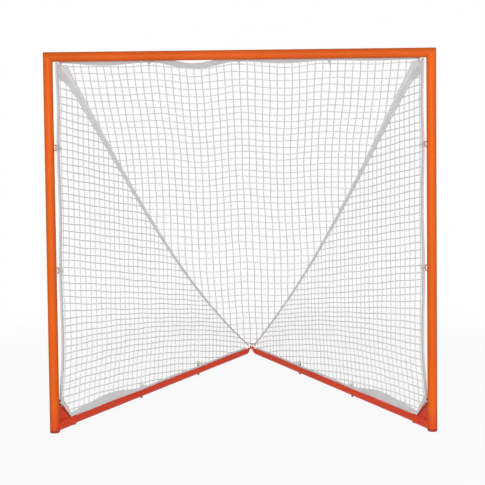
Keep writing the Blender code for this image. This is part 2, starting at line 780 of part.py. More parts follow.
def make_eyes(root):
    """Lacing staples on crossbar and posts, and eye bolts with nuts on the ground bars."""
    outward = Vector((0, NET_TOP_BACK, -NET_TOP_DROP))
    reach = outward.length - CLEARANCE - NET_THICKNESS / 2
    start = POST_RADIUS + CLEARANCE + 0.0002
    spread = Vector((EYE_SPREAD / 2, 0, 0))
    for number, x in enumerate(eye_positions(), 1):
        bm = staple(Vector((x, 0, CROSSBAR_Z)), outward.normalized(), spread, start, reach)
        add_object(f"crossbar_eye_{number}", bm, orange, root)
    for side, sign in SIDES.items():
        for number, z in enumerate(POST_EYE_HEIGHTS, 1):
            axis = Vector((sign * POST_X, 0, z))
            outward = side_point(side, EDGE_START, z) - axis
            reach = outward.length - CLEARANCE - NET_THICKNESS / 2
            bm = staple(axis, outward.normalized(), Vector((0, 0, EYE_SPREAD / 2)), start, reach)
            add_object(f"{side}_post_eye_{number}", bm, orange, root)
        for number, station in enumerate(EYE_BOLT_STATIONS, 1):
            make_eye_bolt(side, number, station, root)


def make_eye_bolt(side, number, station, root):
    """A rod bent into a ring above a straight shank, and the nut the bar stands on."""
    centre_z = BAR_TOP + CLEARANCE + EYE_RING_RADIUS + EYE_ROD / 2
    close = math.asin((EYE_ROD / 2 + CLEARANCE) / EYE_RING_RADIUS)
    path = [bar_point(side, station, 0, CLEARANCE)]
    for k in range(EYE_TURN_STEPS + 1):
        angle = -math.pi / 2 + (math.tau - 2 * close) * k / EYE_TURN_STEPS
        along = station + EYE_RING_RADIUS * math.cos(angle)
        path.append(bar_point(side, along, 0, centre_z + EYE_RING_RADIUS * math.sin(angle)))
    add_object(f"{side}_eye_bolt_{number}", tube(path, EYE_ROD / 2, sides=ROD_SIDES), dark_steel, root)
    seat = bar_point(side, station, 0, 0)
    bm = nut(seat, EYE_NUT_RADIUS, EYE_ROD / 2 + CLEARANCE, BAR_CLEARANCE - CLEARANCE)
    add_object(f"{side}_eye_nut_{number}", bm, dark_steel, root, False)


def seam_stations():
    return spread_evenly(0, 1, NET_STATIONS)


def spread_evenly(a, b, count):
    return [mix(a, b, i / count) for i in range(count + 1)]


def make_side_net(side, root):
    """A hanging triangular panel with its webbing along the post and the ground bar."""
    first = EDGE_START + POST_BAND + NET_GAP
    stations = [(first - SEAM_START) / SEAM_LENGTH]
    stations += [u for u in seam_stations()[1:] if side_room(side, u) > 4 * NET_THICKNESS]
    columns = [seam_along(u) for u in stations]
    lows = [Vector((s, bottom_height(s) + BOTTOM_BAND + NET_GAP)) for s in columns]
    highs = []
    for u in stations:
        highs.append(Vector((seam_along(u), seam_height(side, u) - seam_drop(side, u) - NET_GAP)))
    front = spread_evenly(highs[0], lows[0], NET_COLUMNS)[1:-1]
    net = net_solid(lambda s, z: side_point(side, s, z), lows, highs, front)
    add_object(side + "_side_net", net, twine, root)
    band = []
    for share in (0, 1):
        band.append([side_point(side, s, bottom_height(s) + BOTTOM_BAND * share) for s in columns])
    add_object(side + "_bottom_band", grid_solid(band, NET_THICKNESS), webbing, root)
    low = bottom_height(EDGE_START) + BOTTOM_BAND
    high = seam_height(side, 0) - seam_drop(side, 0) - 2 * NET_THICKNESS
    band = []
    for s in spread_evenly(EDGE_START, EDGE_START + POST_BAND, 1):
        band.append([side_point(side, s, z) for z in spread_evenly(low, high, NET_COLUMNS)])
    add_object(side + "_post_band", grid_solid(band, NET_THICKNESS), webbing, root)


def side_room(side, u):
    """Height left for a side net's column between the seam band and the bottom band."""
    low = bottom_height(seam_along(u)) + BOTTOM_BAND
    return seam_height(side, u) - seam_drop(side, u) - low


def make_seam_band(side, root):
    """A folded band over the seam: one leg on the side net, one on the back net."""
    bm = bmesh.new()
    rings = []
    for u in seam_stations():
        middle = seam_point(side, u)
        lower = side_point(side, seam_along(u), seam_height(side, u) - seam_drop(side, u))
        share = seam_share(u)
        upper = back_point(u, share if side == "left" else 1 - share)
        ahead = seam_point(side, min(u + 0.01, 1)) - seam_point(side, max(u - 0.01, 0))
        below = (lower - middle).cross(ahead).normalized() * NET_THICKNESS / 2
        above = ahead.cross(upper - middle).normalized() * NET_THICKNESS / 2
        fold = (below + above) / (1 + below.dot(above) / (NET_THICKNESS / 2) ** 2)
        ring = [lower + below, middle + fold, upper + above, upper - above, middle - fold, lower - below]
        rings.append([bm.verts.new(p) for p in ring])
    join_rings(bm, rings)
    bm.faces.new(rings[0])
    bm.faces.new(rings[-1])
    add_object(side + "_seam_band", bm, webbing, root)


def make_back_net(root):
    """The back panel and its webbing along the crossbar."""
    length = (seam_point("left", 1) - seam_point("left", 0)).length
    band_share = TOP_BAND / length
    gap_share = NET_GAP / length
    band = []
    for u in spread_evenly(0, band_share, 1):
        edge = seam_share(u, NET_GAP)
        band.append([back_point(u, q) for q in spread_evenly(edge, 1 - edge, NET_COLUMNS)])
    add_object("top_band", grid_solid(band, NET_THICKNESS), webbing, root)
    # Laid out flat with x across and the distance up from the apex, along one seam, as height.
    lefts, rights = [], []
    for u in [band_share + gap_share] + seam_stations()[1:]:
        edge = seam_share(u, NET_GAP)
        lefts.append(Vector((back_point(u, edge).x, (1 - u) * length)))
        rights.append(Vector((back_point(u, 1 - edge).x, (1 - u) * length)))
    highs = spread_evenly(lefts[0], rights[0], NET_COLUMNS)[1:-1]
    lows = lefts + rights[::-1]
    net = net_solid(lambda x, rise: back_spot(x, 1 - rise / length), lows, highs, [])
    add_object("back_net", net, twine, root)


def main():
    clear_scene()
    root = bpy.data.objects.new("goal_line", None)
    bpy.context.scene.collection.objects.link(root)
    root.location = (0, GOAL_LINE_Y, 0)
    make_mouth(root)
    make_corners(root)
    make_feet(root)
    make_sockets(root)
    make_bars(root)
    make_stop_bolts(root)
    make_apex(root)
    make_eyes(root)
    make_back_net(root)
    for side in SIDES:
        make_side_net(side, root)
        make_seam_band(side, root)


main()
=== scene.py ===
import math
import random

import bpy
import numpy as np
from mathutils import Matrix, Vector


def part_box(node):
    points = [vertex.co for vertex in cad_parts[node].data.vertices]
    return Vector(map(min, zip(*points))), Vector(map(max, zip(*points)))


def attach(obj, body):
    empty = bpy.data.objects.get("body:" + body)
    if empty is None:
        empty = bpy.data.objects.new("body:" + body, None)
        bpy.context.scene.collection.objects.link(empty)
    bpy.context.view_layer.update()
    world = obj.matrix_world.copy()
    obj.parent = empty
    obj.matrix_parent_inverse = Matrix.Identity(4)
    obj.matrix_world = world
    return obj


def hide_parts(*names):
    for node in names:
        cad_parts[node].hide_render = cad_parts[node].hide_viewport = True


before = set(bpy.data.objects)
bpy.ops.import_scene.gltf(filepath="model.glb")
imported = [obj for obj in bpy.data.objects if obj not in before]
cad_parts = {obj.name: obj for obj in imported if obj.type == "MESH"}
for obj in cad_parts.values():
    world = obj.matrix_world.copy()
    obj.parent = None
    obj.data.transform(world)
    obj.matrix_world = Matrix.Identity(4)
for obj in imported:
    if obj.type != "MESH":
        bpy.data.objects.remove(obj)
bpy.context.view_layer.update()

# ---- The view -----------------------------------------------------------------------------------
# A lacrosse goal seen from in front of its mouth: a long lens at chest height, a little right of
# the middle. The goal line is the line through both post axes, which the camera distance starts at.
left_post_low, left_post_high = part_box("left_post")
goal_line_y = (left_post_low.y + left_post_high.y) / 2
camera_distance = 6.5
camera_right = 0.195
camera_height = 1.650
turn_left = math.radians(1.61)
look_down = math.radians(3.17)
lean = math.radians(-0.65)
lens = 98.33
frame_drop = 0.1443

camera_data = bpy.data.cameras.new("front_camera")
camera_data.lens = lens
camera_data.sensor_width = 36
camera_data.shift_y = -frame_drop
camera = bpy.data.objects.new("front_camera", camera_data)
bpy.context.scene.collection.objects.link(camera)
camera.matrix_world = (
    Matrix.Translation((camera_right, goal_line_y - camera_distance, camera_height))
    @ Matrix.Rotation(turn_left, 4, "Z")
    @ Matrix.Rotation(math.pi / 2 - look_down, 4, "X")
    @ Matrix.Rotation(lean, 4, "Z")
)
bpy.context.scene.camera = camera
bpy.context.scene.view_settings.view_transform = "Standard"

# ---- The floor and the light --------------------------------------------------------------------
# A plain white studio floor under soft light. Seen directly it is white, and close to the goal
# it also keeps the goal's own soft shadow.
floor_reach = 14.0
floor_paint = (0.68, 0.68, 0.68, 1)
room_tint = (0.96, 0.98, 1, 1)
room_strength = 0.32
white = (1, 1, 1, 1)
shadow_share = 0.07
shadow_near = 1.8
shadow_far = 3.4


def add_node(tree, kind, **settings):
    """A shader node with its settings, and input values given as in_0, in_1 and so on."""
    node = tree.nodes.new(kind)
    for key, value in settings.items():
        if key.startswith("in_"):
            node.inputs[int(key[3:])].default_value = value
        else:
            setattr(node, key, value)
    return node


def calculate(tree, operation, first, second=0.0, third=None, clamp=False):
    """One Math node's output, from sockets or numbers."""
    node = add_node(tree, "ShaderNodeMath", operation=operation, use_clamp=clamp)
    for socket, value in zip(node.inputs, (first, second, third)):
        if value is None:
            continue
        if isinstance(value, (int, float)):
            socket.default_value = value
        else:
            tree.links.new(value, socket)
    return node.outputs[0]


def ramp(tree, value, low, high, out_low=0.0, out_high=1.0):
    """A value carried smoothly from one range to another."""
    node = add_node(tree, "ShaderNodeMapRange", interpolation_type="SMOOTHSTEP")
    tree.links.new(value, node.inputs[0])
    for socket, number in zip(list(node.inputs)[1:5], (low, high, out_low, out_high)):
        socket.default_value = number
    return node.outputs[0]


def seen_directly(tree):
    """1 for what the eye sees, plainly, in a gloss or through glass; 0 for what lights the goal."""
    ray = add_node(tree, "ShaderNodeLightPath").outputs
    plain_or_gloss = calculate(tree, "MAXIMUM", ray["Is Camera Ray"], ray["Is Glossy Ray"])
    return calculate(tree, "MAXIMUM", plain_or_gloss, ray["Is Transmission Ray"])


def show_two_ways(tree, share, lit, seen, output_kind):
    """One shader for the light and another, by its share, for what is seen."""
    mixer = add_node(tree, "ShaderNodeMixShader")
    for value, socket in zip((share, lit.outputs[0], seen.outputs[0]), mixer.inputs):
        tree.links.new(value, socket)
    tree.links.new(mixer.outputs[0], add_node(tree, output_kind).inputs[0])


def studio_floor():
    """White where it is seen directly, but for a share of plain paint that keeps the shadow."""
    finish = bpy.data.materials.new("studio_floor")
    finish.use_nodes = True
    tree = finish.node_tree
    tree.nodes.clear()
    paint = add_node(tree, "ShaderNodeBsdfDiffuse", in_0=floor_paint)
    glow = add_node(tree, "ShaderNodeEmission", in_0=white, in_1=1.0)
    length = add_node(tree, "ShaderNodeVectorMath", operation="LENGTH")
    tree.links.new(add_node(tree, "ShaderNodeNewGeometry").outputs["Position"], length.inputs[0])
    keep = ramp(tree, length.outputs["Value"], shadow_near, shadow_far, shadow_share, 0.0)
    share = calculate(tree, "MULTIPLY", seen_directly(tree), calculate(tree, "SUBTRACT", 1.0, keep))
    show_two_ways(tree, share, paint, glow, "ShaderNodeOutputMaterial")
    return finish


floor_mesh = bpy.data.meshes.new("studio_floor")
floor_mesh.from_pydata(
    [(-floor_reach, -floor_reach, 0), (floor_reach, -floor_reach, 0),
     (floor_reach, floor_reach, 0), (-floor_reach, floor_reach, 0)],
    [],
    [(0, 1, 2, 3)],
)
floor_mesh.materials.append(studio_floor())
floor = bpy.data.objects.new("studio_floor", floor_mesh)
bpy.context.scene.collection.objects.link(floor)

world = bpy.data.worlds.new("studio")
world.use_nodes = True
world.node_tree.nodes.clear()
room = add_node(world.node_tree, "ShaderNodeBackground", in_0=room_tint, in_1=room_strength)
backdrop = add_node(world.node_tree, "ShaderNodeBackground", in_0=white, in_1=1.0)
seen = seen_directly(world.node_tree)
show_two_ways(world.node_tree, seen, room, backdrop, "ShaderNodeOutputWorld")
bpy.context.scene.world = world


def soft_box(name, place, aim, size, power):
    """A square studio lamp aimed at a point and not itself seen."""
    lamp = bpy.data.lights.new(name, "AREA")
    lamp.shape = "SQUARE"
    lamp.size = size
    lamp.energy = power
    holder = bpy.data.objects.new(name, lamp)
    holder.location = place
    holder.visible_camera = False
    holder.rotation_mode = "QUATERNION"
    holder.rotation_quaternion = (Vector(place) - Vector(aim)).to_track_quat("Z", "Y")
    bpy.context.scene.collection.objects.link(holder)


soft_box("key_lamp", (-2.4, -13.4, 1.5), (0, -0.2, 0.8), 4.2, 830)
soft_box("fill_lamp", (3.6, -13.0, 1.3), (0, -0.2, 0.7), 4.2, 590)
soft_box("back_lamp", (1.5, 12.0, 2.4), (0, 0.2, 0.8), 4.6, 560)

# ---- Posts and crossbar -------------------------------------------------------------------------
# Three steel tubes, 48 mm across, cut at 45 degrees for the top corners and powder coated orange.
# The paint is a little orange-peeled, scuffed where it is handled and dusty near the ground.
orange_paint = (0.800, 0.126, 0.012)
# The crossbar's paint is the posts' orange made deeper: painted shade, because the crossbar takes more light
# than the posts.
shaded_crossbar_paint = (0.690, 0.108, 0.012)
foot_spray = (0.760, 0.078, 0.020)
dust_colour = (0.34, 0.27, 0.19)
orange_peel_size = 620.0
orange_peel_depth = 0.00006
post_wall = 0.0025
mitre_gap = 0.0003
tube_sides = 72
crossbar_low, crossbar_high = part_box("crossbar")
crossbar_z = (crossbar_low.z + crossbar_high.z) / 2
post_x = -(left_post_low.x + left_post_high.x) / 2
post_radius = (left_post_high.y - left_post_low.y) / 2
side_sign = {"left": -1, "right": 1}


def make_group(name, inputs, outputs):
    """A shader node group with named inputs and their plain values, and the names of its outputs."""
    group = bpy.data.node_groups.new(name, "ShaderNodeTree")
    for label, value in inputs.items():
        kind = "NodeSocketVector" if isinstance(value, tuple) else "NodeSocketFloat"
        group.interface.new_socket(label, in_out="INPUT", socket_type=kind).default_value = value
    for label in outputs:
        group.interface.new_socket(label, in_out="OUTPUT", socket_type="NodeSocketFloat")
    return group, add_node(group, "NodeGroupInput").outputs


def give(group, **values):
    """Wire values to the outputs of a group that have their names."""
    made = add_node(group, "NodeGroupOutput").inputs
    for label, value in values.items():
        group.links.new(value, made[label])
    return group


def part_of(tree, vector, axis):
    """One of the three numbers of a vector."""
    split = add_node(tree, "ShaderNodeSeparateXYZ")
    tree.links.new(vector, split.inputs[0])
    return split.outputs[axis]


def noise(tree, place, scale, detail=3.0, stretch=None, roughness=0.5):
    """Noise over a place vector, which stretch can squeeze along each axis."""
    if stretch:
        squeeze = add_node(tree, "ShaderNodeVectorMath", operation="MULTIPLY")
        squeeze.inputs[1].default_value = stretch
        tree.links.new(place, squeeze.inputs[0])
        place = squeeze.outputs[0]
    node = add_node(tree, "ShaderNodeTexNoise")
    tree.links.new(place, node.inputs["Vector"])
    if isinstance(scale, (int, float)):
        node.inputs["Scale"].default_value = scale
    else:
        tree.links.new(scale, node.inputs["Scale"])
    node.inputs["Detail"].default_value = detail
    node.inputs["Roughness"].default_value = roughness
    return node.outputs["Fac"]


def powder_coat_group():
    """Peel, tone, scuffs and dust of a powder-coated tube, over its own place in the goal."""
    group, given = make_group(
        "powder_coat",
        {"Place": (0, 0, 0), "Peel size": 600.0, "Scuffs": 0.3, "Dust": 0.4},
        ("Tone", "Scuff", "Dust", "Roughness", "Relief"),
    )
    place = given["Place"]
    peel = noise(group, place, given["Peel size"], 1.0)
    cloud = noise(group, place, 2.3, 3.0)
    scratches = noise(group, place, 95.0, 4.0, (1.0, 1.0, 0.16), 0.65)
    patches = noise(group, place, 6.5, 3.0)
    marks = ramp(group, scratches, 0.62, 0.68)
    marks = calculate(group, "MULTIPLY", marks, ramp(group, patches, 0.54, 0.68))
    scuff = calculate(group, "MULTIPLY", marks, given["Scuffs"], clamp=True)
    low = ramp(group, part_of(group, place, 2), 0.02, 0.30, 1.0, 0.12)
    grit = ramp(group, noise(group, place, 140.0, 4.0), 0.46, 0.74)
    dust = calculate(group, "MULTIPLY", low, grit)
    dust = calculate(group, "MULTIPLY", dust, given["Dust"], clamp=True)
    rough = calculate(group, "MULTIPLY_ADD", cloud, 0.10, 0.32)
    rough = calculate(group, "MULTIPLY_ADD", dust, 0.35, rough)
    rough = calculate(group, "MULTIPLY_ADD", scuff, 0.20, rough)
    dents = noise(group, place, 26.0, 2.0)
    relief = calculate(group, "MULTIPLY_ADD", dents, 1.6, peel)
    relief = calculate(group, "MULTIPLY_ADD", scuff, -0.8, relief)
    tone = ramp(group, cloud, 0.3, 0.7)
    return give(group, Tone=tone, Scuff=scuff, Dust=dust, Roughness=rough, Relief=relief)


def mix_colours(tree, share, first, second):
    """The first colour, covered by the second to the given share."""
    node = add_node(tree, "ShaderNodeMix", data_type="RGBA")
    tree.links.new(share, node.inputs[0])
    for socket, value in ((node.inputs[6], first), (node.inputs[7], second)):
        if isinstance(value, tuple):
            socket.default_value = (*value, 1)
        else:
            tree.links.new(value, socket)
    return node.outputs[2]


def new_finish(name, roughness, metallic=0.0, specular=0.5):
    """A material with its Principled shader, and the place in the goal that its patterns use."""
    finish = bpy.data.materials.new(name)
    finish.use_nodes = True
    tree = finish.node_tree
    shader = tree.nodes["Principled BSDF"]
    shader.inputs["Roughness"].default_value = roughness
    shader.inputs["Metallic"].default_value = metallic
    shader.inputs["Specular IOR Level"].default_value = specular
    place = add_node(tree, "ShaderNodeTexCoord").outputs["Object"]
    return finish, tree, shader, place


def place_group(tree, group, place, **values):
    """A node group at work on a place, with values for its other inputs."""
    node = add_node(tree, "ShaderNodeGroup", node_tree=group)
    tree.links.new(place, node.inputs["Place"])
    for label, value in values.items():
        node.inputs[label.replace("_", " ")].default_value = value
    return node.outputs


def cover(tree, shader, colour, skin, depth):
    """Colour, roughness and relief, which is depth high, into the shader."""
    tree.links.new(colour, shader.inputs["Base Color"])
    if "Roughness" in skin:
        tree.links.new(skin["Roughness"], shader.inputs["Roughness"])
    bump = add_node(tree, "ShaderNodeBump")
    bump.inputs["Distance"].default_value = depth
    tree.links.new(skin["Relief"], bump.inputs["Height"])
    tree.links.new(bump.outputs["Normal"], shader.inputs["Normal"])


powder_coat = powder_coat_group()


def painted(name, colour, scuffs, dust, spray=None):
    """Powder coat in one colour, which a spray of a second colour can cover near the ground."""
    finish, tree, shader, place = new_finish(name, 0.42, specular=0.06)
    coat = place_group(tree, powder_coat, place, Peel_size=orange_peel_size, Scuffs=scuffs, Dust=dust)
    deep = tuple(c * 0.94 for c in colour)
    bright = tuple(min(c * 1.05 + 0.002, 1) for c in colour)
    shade = mix_colours(tree, coat["Tone"], deep, bright)
    if spray:
        drift = noise(tree, place, 14.0, 2.0)
        level = calculate(tree, "MULTIPLY_ADD", drift, 0.06, part_of(tree, place, 2))
        shade = mix_colours(tree, ramp(tree, level, 0.05, 0.17, 0.85, 0.0), shade, spray)
    worn = tuple(c * 0.75 + 0.06 for c in colour)
    shade = mix_colours(tree, coat["Scuff"], shade, worn)
    shade = mix_colours(tree, coat["Dust"], shade, dust_colour)
    cover(tree, shader, shade, coat, orange_peel_depth)
    return finish


def dress(node, finish):
    """A CAD piece keeps its shape and gets its own finish."""
    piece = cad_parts[node]
    piece.data.materials.clear()
    piece.data.materials.append(finish)


def running(steps):
    """Running total of steps, from nothing."""
    return np.concatenate([[0], np.cumsum(steps)])


def ring_mesh(rings, closed, lay=None):
    """Skin over a row of rings, laid out by (along, around); an open row gets a cap at each end."""
    rings = np.asarray(rings, float)
    count, size = rings.shape[:2]
    if lay is None:
        longest = max(rings, key=lambda ring: np.linalg.norm(ring - ring.mean(0), axis=1).max())
        around = running(np.linalg.norm(np.roll(longest, -1, 0) - longest, axis=1))
        lay = running(np.linalg.norm(np.roll(rings, -1, 0) - rings, axis=2).mean(1)), around
    along, around = lay
    faces, wraps = [], []
    for i in range(count if closed else count - 1):
        n = (i + 1) % count
        for k in range(size):
            m = (k + 1) % size
            faces.append((i * size + k, i * size + m, n * size + m, n * size + k))
            wraps += [(along[i], around[k]), (along[i], around[k + 1]),
                      (along[i + 1], around[k + 1]), (along[i + 1], around[k])]
    if not closed:
        faces.append(tuple(reversed(range(size))))
        faces.append(tuple((count - 1) * size + k for k in range(size)))
        wraps += [(along[0], around[k]) for k in reversed(range(size))]
        wraps += [(along[count - 1], around[k]) for k in range(size)]
    return rings.reshape(-1, 3), faces, wraps


def build_piece(name, shape, finish, stands_for=(), sharp=None):
    """A new piece from (points, faces, wraps), with its finish, riding on the goal."""
    points, faces, wraps = shape
    mesh = bpy.data.meshes.new(name)
    mesh.from_pydata(points.tolist(), [], faces)
    layer = mesh.uv_layers.new(name="lay")
    layer.data.foreach_set("uv", np.asarray(wraps, np.float32).ravel())
    mesh.shade_smooth()
    if sharp:
        mesh.set_sharp_from_angle(angle=math.radians(sharp))
    mesh.materials.append(finish)
    piece = bpy.data.objects.new(name, mesh)
    bpy.context.scene.collection.objects.link(piece)
    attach(piece, "root")
    if stands_for:
        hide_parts(*stands_for)


def gather(shapes):
    """Several shapes as one."""
    points, faces, wraps = [], [], []
    start = 0
    for some_points, some_faces, some_wraps in shapes:
        points.append(some_points)
        faces += [tuple(start + k for k in face) for face in some_faces]
        wraps += some_wraps
        start += len(some_points)
    return np.concatenate(points), faces, wraps


turn = np.arange(tube_sides) * math.tau / tube_sides


def mitred_post(side):
    """A post tube from its foot to the mitre, which slopes up and away from the mouth."""
    bore = post_radius - post_wall
    rings = []
    for radius, top in ((post_radius, False), (post_radius, True), (bore, True), (bore, False)):
        x = radius * np.cos(turn)
        z = np.full(tube_sides, left_post_low.z)
        if top:
            z = crossbar_z + side_sign[side] * x - mitre_gap
        rings.append(np.stack([side_sign[side] * post_x + x, goal_line_y + radius * np.sin(turn), z], axis=1))
    return ring_mesh(rings, closed=True)


def mitred_crossbar():
    """The crossbar tube, mitred at both ends, which are longest on top."""
    bore = post_radius - post_wall
    rings = []
    for radius, sign in ((post_radius, -1), (post_radius, 1), (bore, 1), (bore, -1)):
        z = radius * np.sin(turn)
        x = sign * (post_x + z - mitre_gap)
        rings.append(np.stack([x, goal_line_y + radius * np.cos(turn), crossbar_z + z], axis=1))
    return ring_mesh(rings, closed=True)


post_coat = painted("orange_post_coat", orange_paint, 0.22, 0.06, foot_spray)
shaded_crossbar_coat = painted("orange_crossbar_coat", shaded_crossbar_paint, 0.22, 0.06)
for side in ("left", "right"):
    shape = mitred_post(side)
    build_piece(f"{side}_post_tube", shape, post_coat, (f"{side}_post",), 35)
build_piece("crossbar_tube", mitred_crossbar(), shaded_crossbar_coat, ("crossbar",), 35)

# ---- Corner keys and their screws ---------------------------------------------------------------
# A steel elbow inside each mitre, hidden in the tubes, with one black socket screw behind each
# tube. The screws are blackened steel, dull, with a trace of oil.


def oxide_group():
    """Blackened steel: cloudy tone, fine grain and specks of rust."""
    group, given = make_group(
        "black_oxide", {"Place": (0, 0, 0), "Rust": 0.2}, ("Tone", "Rust", "Roughness", "Relief")
    )
    tone = ramp(group, noise(group, given["Place"], 60.0, 3.0), 0.3, 0.7)
    grain = noise(group, given["Place"], 900.0, 2.0)
    spots = ramp(group, noise(group, given["Place"], 140.0, 4.0), 0.56, 0.68)
    rust = calculate(group, "MULTIPLY", spots, given["Rust"], clamp=True)
    rough = calculate(group, "MULTIPLY_ADD", grain, 0.2, 0.32)
    rough = calculate(group, "MULTIPLY_ADD", rust, 0.35, rough)
    relief = calculate(group, "MULTIPLY_ADD", rust, 2.0, grain)
    return give(group, Tone=tone, Rust=rust, Roughness=rough, Relief=relief)


def black_steel_finish():
    """Dull black, paler in clouds, with brown specks."""
    finish, tree, shader, place = new_finish("black_steel", 0.42, metallic=0.75)
    skin = place_group(tree, oxide_group(), place, Rust=0.35)
    shade = mix_colours(tree, skin["Tone"], (0.020, 0.020, 0.022), (0.060, 0.058, 0.056))
    shade = mix_colours(tree, skin["Rust"], shade, (0.16, 0.065, 0.03))
    cover(tree, shader, shade, skin, 0.00008)
    return finish


black_steel = black_steel_finish()
for side in ("left", "right"):
    for node in ("corner_key", "post_corner_screw", "crossbar_corner_screw"):
        dress(f"{side}_{node}", black_steel)

# ---- Foot plugs ---------------------------------------------------------------------------------
# A turned plug closes each post foot and stands on the ground. Its paint is the darker red-orange
# of the base, worn brown by the ground.
foot_paint = (0.420, 0.046, 0.022)
foot_coat = painted("foot_red_brown", foot_paint, 0.5, 0.30)
foot_height = 0.014
foot_stem_height = 0.044
foot_stem_radius = post_radius - post_wall - 0.0003
foot_edge = 0.002


def turned(profile, centre):
    """A solid turned round an upright axis from (radius, height) points."""
    x, y, z = centre
    rings = []
    for radius, height in profile:
        level = np.full(tube_sides, z + height)
        rings.append(np.stack([x + radius * np.cos(turn), y + radius * np.sin(turn), level], axis=1))
    return ring_mesh(rings, closed=False)


plug = [(post_radius - foot_edge * (1 - math.sin(a)), foot_edge * (1 - math.cos(a)))
        for a in np.linspace(0, math.pi / 2, 5)]
plug += [
    (post_radius, foot_height),
    (foot_stem_radius, foot_height),
    (foot_stem_radius, foot_stem_height - foot_edge),
    (foot_stem_radius - foot_edge, foot_stem_height),
]
for side in ("left", "right"):
    shape = turned(plug, (side_sign[side] * post_x, goal_line_y, 0.0))
    build_piece(f"{side}_foot", shape, foot_coat, (f"{side}_foot_plug",), 35)

# ---- Sockets, gussets and their welds -----------------------------------------------------------
# A tube socket is coped and welded to each post, and a triangular plate is welded on top of it.
# All of it is painted red-orange over the rippled weld beads.
red_paint = (0.900, 0.074, 0.029)
red_coat = painted("red_powder_coat", red_paint, 0.30, 0.08)
paint_gap = 0.0003
plate_half = 0.0025
plate_weld_length = 0.106
cope_round = 0.009
weld_radius = 0.0026
weld_ripple = 0.0034
weld_lift = 0.0006
weld_corner = 0.003
weld_step = 0.0011
apex_low, apex_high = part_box("apex_bolt")
socket_low, socket_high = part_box("left_bar_socket")
gusset_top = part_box("left_gusset")[1].z
depth = (apex_low.y + apex_high.y) / 2 - goal_line_y
bar_length = math.hypot(post_x, depth)
bar_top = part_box("left_ground_bar")[1].z
socket_radius = (socket_high.z - socket_low.z) / 2
socket_axis_z = (socket_high.z + socket_low.z) / 2
socket_end = 0.166
socket_edge = 0.0008
bar_radius = bar_top - socket_axis_z


def bar_place(side, along, inward, z):
    """Points by distance along a ground bar from its post axis, offset into the goal and height."""
    x = post_x - (along * post_x + inward * depth) / bar_length
    y = (along * depth - inward * post_x) / bar_length
    spot = np.broadcast_arrays(x * side_sign[side], y + goal_line_y, z)
    return np.stack(spot, axis=-1).astype(float)


def coped_socket(side):
    """The socket tube: round the post at one end, with a softened edge at its mouth."""
    inner = bar_radius + paint_gap
    turned_way = turn * side_sign[side]
    rings = []
    for radius, place in ((socket_radius, 0), (socket_radius, socket_end - socket_edge),
                          (socket_radius - socket_edge, socket_end), (inner, socket_end), (inner, 0)):
        inward = radius * np.cos(turned_way)
        along = place if place else np.sqrt((post_radius + paint_gap) ** 2 - inward**2)
        rings.append(bar_place(side, along, inward, socket_axis_z + radius * np.sin(turned_way)))
    return ring_mesh(rings, closed=True)


def unit(vectors):
    return vectors / np.linalg.norm(vectors, axis=-1, keepdims=True)


def tube_mesh(run, radius, sides, guide, closed=False):
    """A round strand through a run of points, which guide isn't in line with."""
    run = np.asarray(run, float)
    if closed:
        ahead = unit(np.roll(run, -1, 0) - np.roll(run, 1, 0))
    else:
        ahead = unit(np.gradient(run, axis=0))
    across = unit(np.cross(ahead, guide))
    over = np.cross(across, ahead)
    angle = -np.arange(sides)[None, :, None] * math.tau / sides
    ring = np.cos(angle) * across[:, None] + np.sin(angle) * over[:, None]
    size = np.broadcast_to(radius, len(run))[:, None, None]
    along = running(np.linalg.norm(np.roll(run, -1, 0) - run, axis=1))
    return ring_mesh(run[:, None] + ring * size, closed, (along, np.arange(sides + 1) / sides))


def weld_bead(points, radius, seed):
    """Radii of a rippled bead along a line of points."""
    draw = random.Random(seed)
    steps = running(np.linalg.norm(np.diff(points, axis=0), axis=1))
    ripple = 0.10 * np.sin(math.tau * steps / weld_ripple)
    uneven = np.array([draw.uniform(-0.08, 0.08) for _ in steps])
    return radius * (1 + ripple + uneven)


def line_between(a, b, step):
    count = max(int(np.linalg.norm(b - a) / step), 2)
    return a + (b - a) * np.linspace(0, 1, count + 1)[:, None]


def base_welds(side):
    """A bead round the socket's cope, and beads along both faces of the plate's two welded edges."""
    angle = np.linspace(0, math.tau, 90, endpoint=False)
    along = np.hypot(socket_radius * np.sin(angle), cope_round)
    height = socket_axis_z + socket_radius * np.sin(angle)
    cope = bar_place(side, along, socket_radius * np.cos(angle), height)
    beads = [tube_mesh(cope, weld_bead(cope, weld_radius, 3), 8, (0.31, 0.17, 0.93), closed=True)]
    near, far = post_radius + weld_lift, post_radius + weld_lift + plate_weld_length
    low, high = socket_high.z + weld_lift, gusset_top - 0.004
    plate_bead = weld_radius * 0.8
    for inward in (-plate_half, plate_half):
        corner_up = bar_place(side, near, inward, low + weld_corner)
        corner_out = bar_place(side, near + weld_corner, inward, low)
        upright = line_between(corner_up, bar_place(side, near, inward, high), weld_step)
        flat = line_between(corner_out, bar_place(side, far, inward, low), weld_step)
        beads.append(tube_mesh(upright, weld_bead(upright, plate_bead, 5), 8, (1, 0.2, 0)))
        beads.append(tube_mesh(flat, weld_bead(flat, plate_bead, 7), 8, (0, 0.2, 1)))
    return gather(beads)


for side in ("left", "right"):
    dress(f"{side}_gusset", red_coat)
    shape = coped_socket(side)
    build_piece(f"{side}_socket_tube", shape, red_coat, (f"{side}_bar_socket",), 35)
    build_piece(f"{side}_base_welds", base_welds(side), red_coat)

# ---- Ground bars --------------------------------------------------------------------------------
# Two 38 mm tubes run from the sockets to the apex, where their flattened ends lap and are bolted.
# They lie low, so their red-orange paint takes more scuffs than the mouth's.
bar_coat = painted("red_powder_coat_low", red_paint, 0.40, 0.06)
bar_start = 0.030
bar_wall = 0.0020
tab_half_width = 0.020
tab_edge_rise = 1.6
tab_face_spread = 1.15
tab_gap = 0.0003
tab_thickness = 0.005
tab_flat = 0.048
tab_ramp = 0.032


def ease(t):
    """A smooth step from 0 to 1."""
    t = np.clip(t, 0, 1)
    return t * t * (3 - 2 * t)


def mixed(a, b, t):
    return a + (b - a) * t


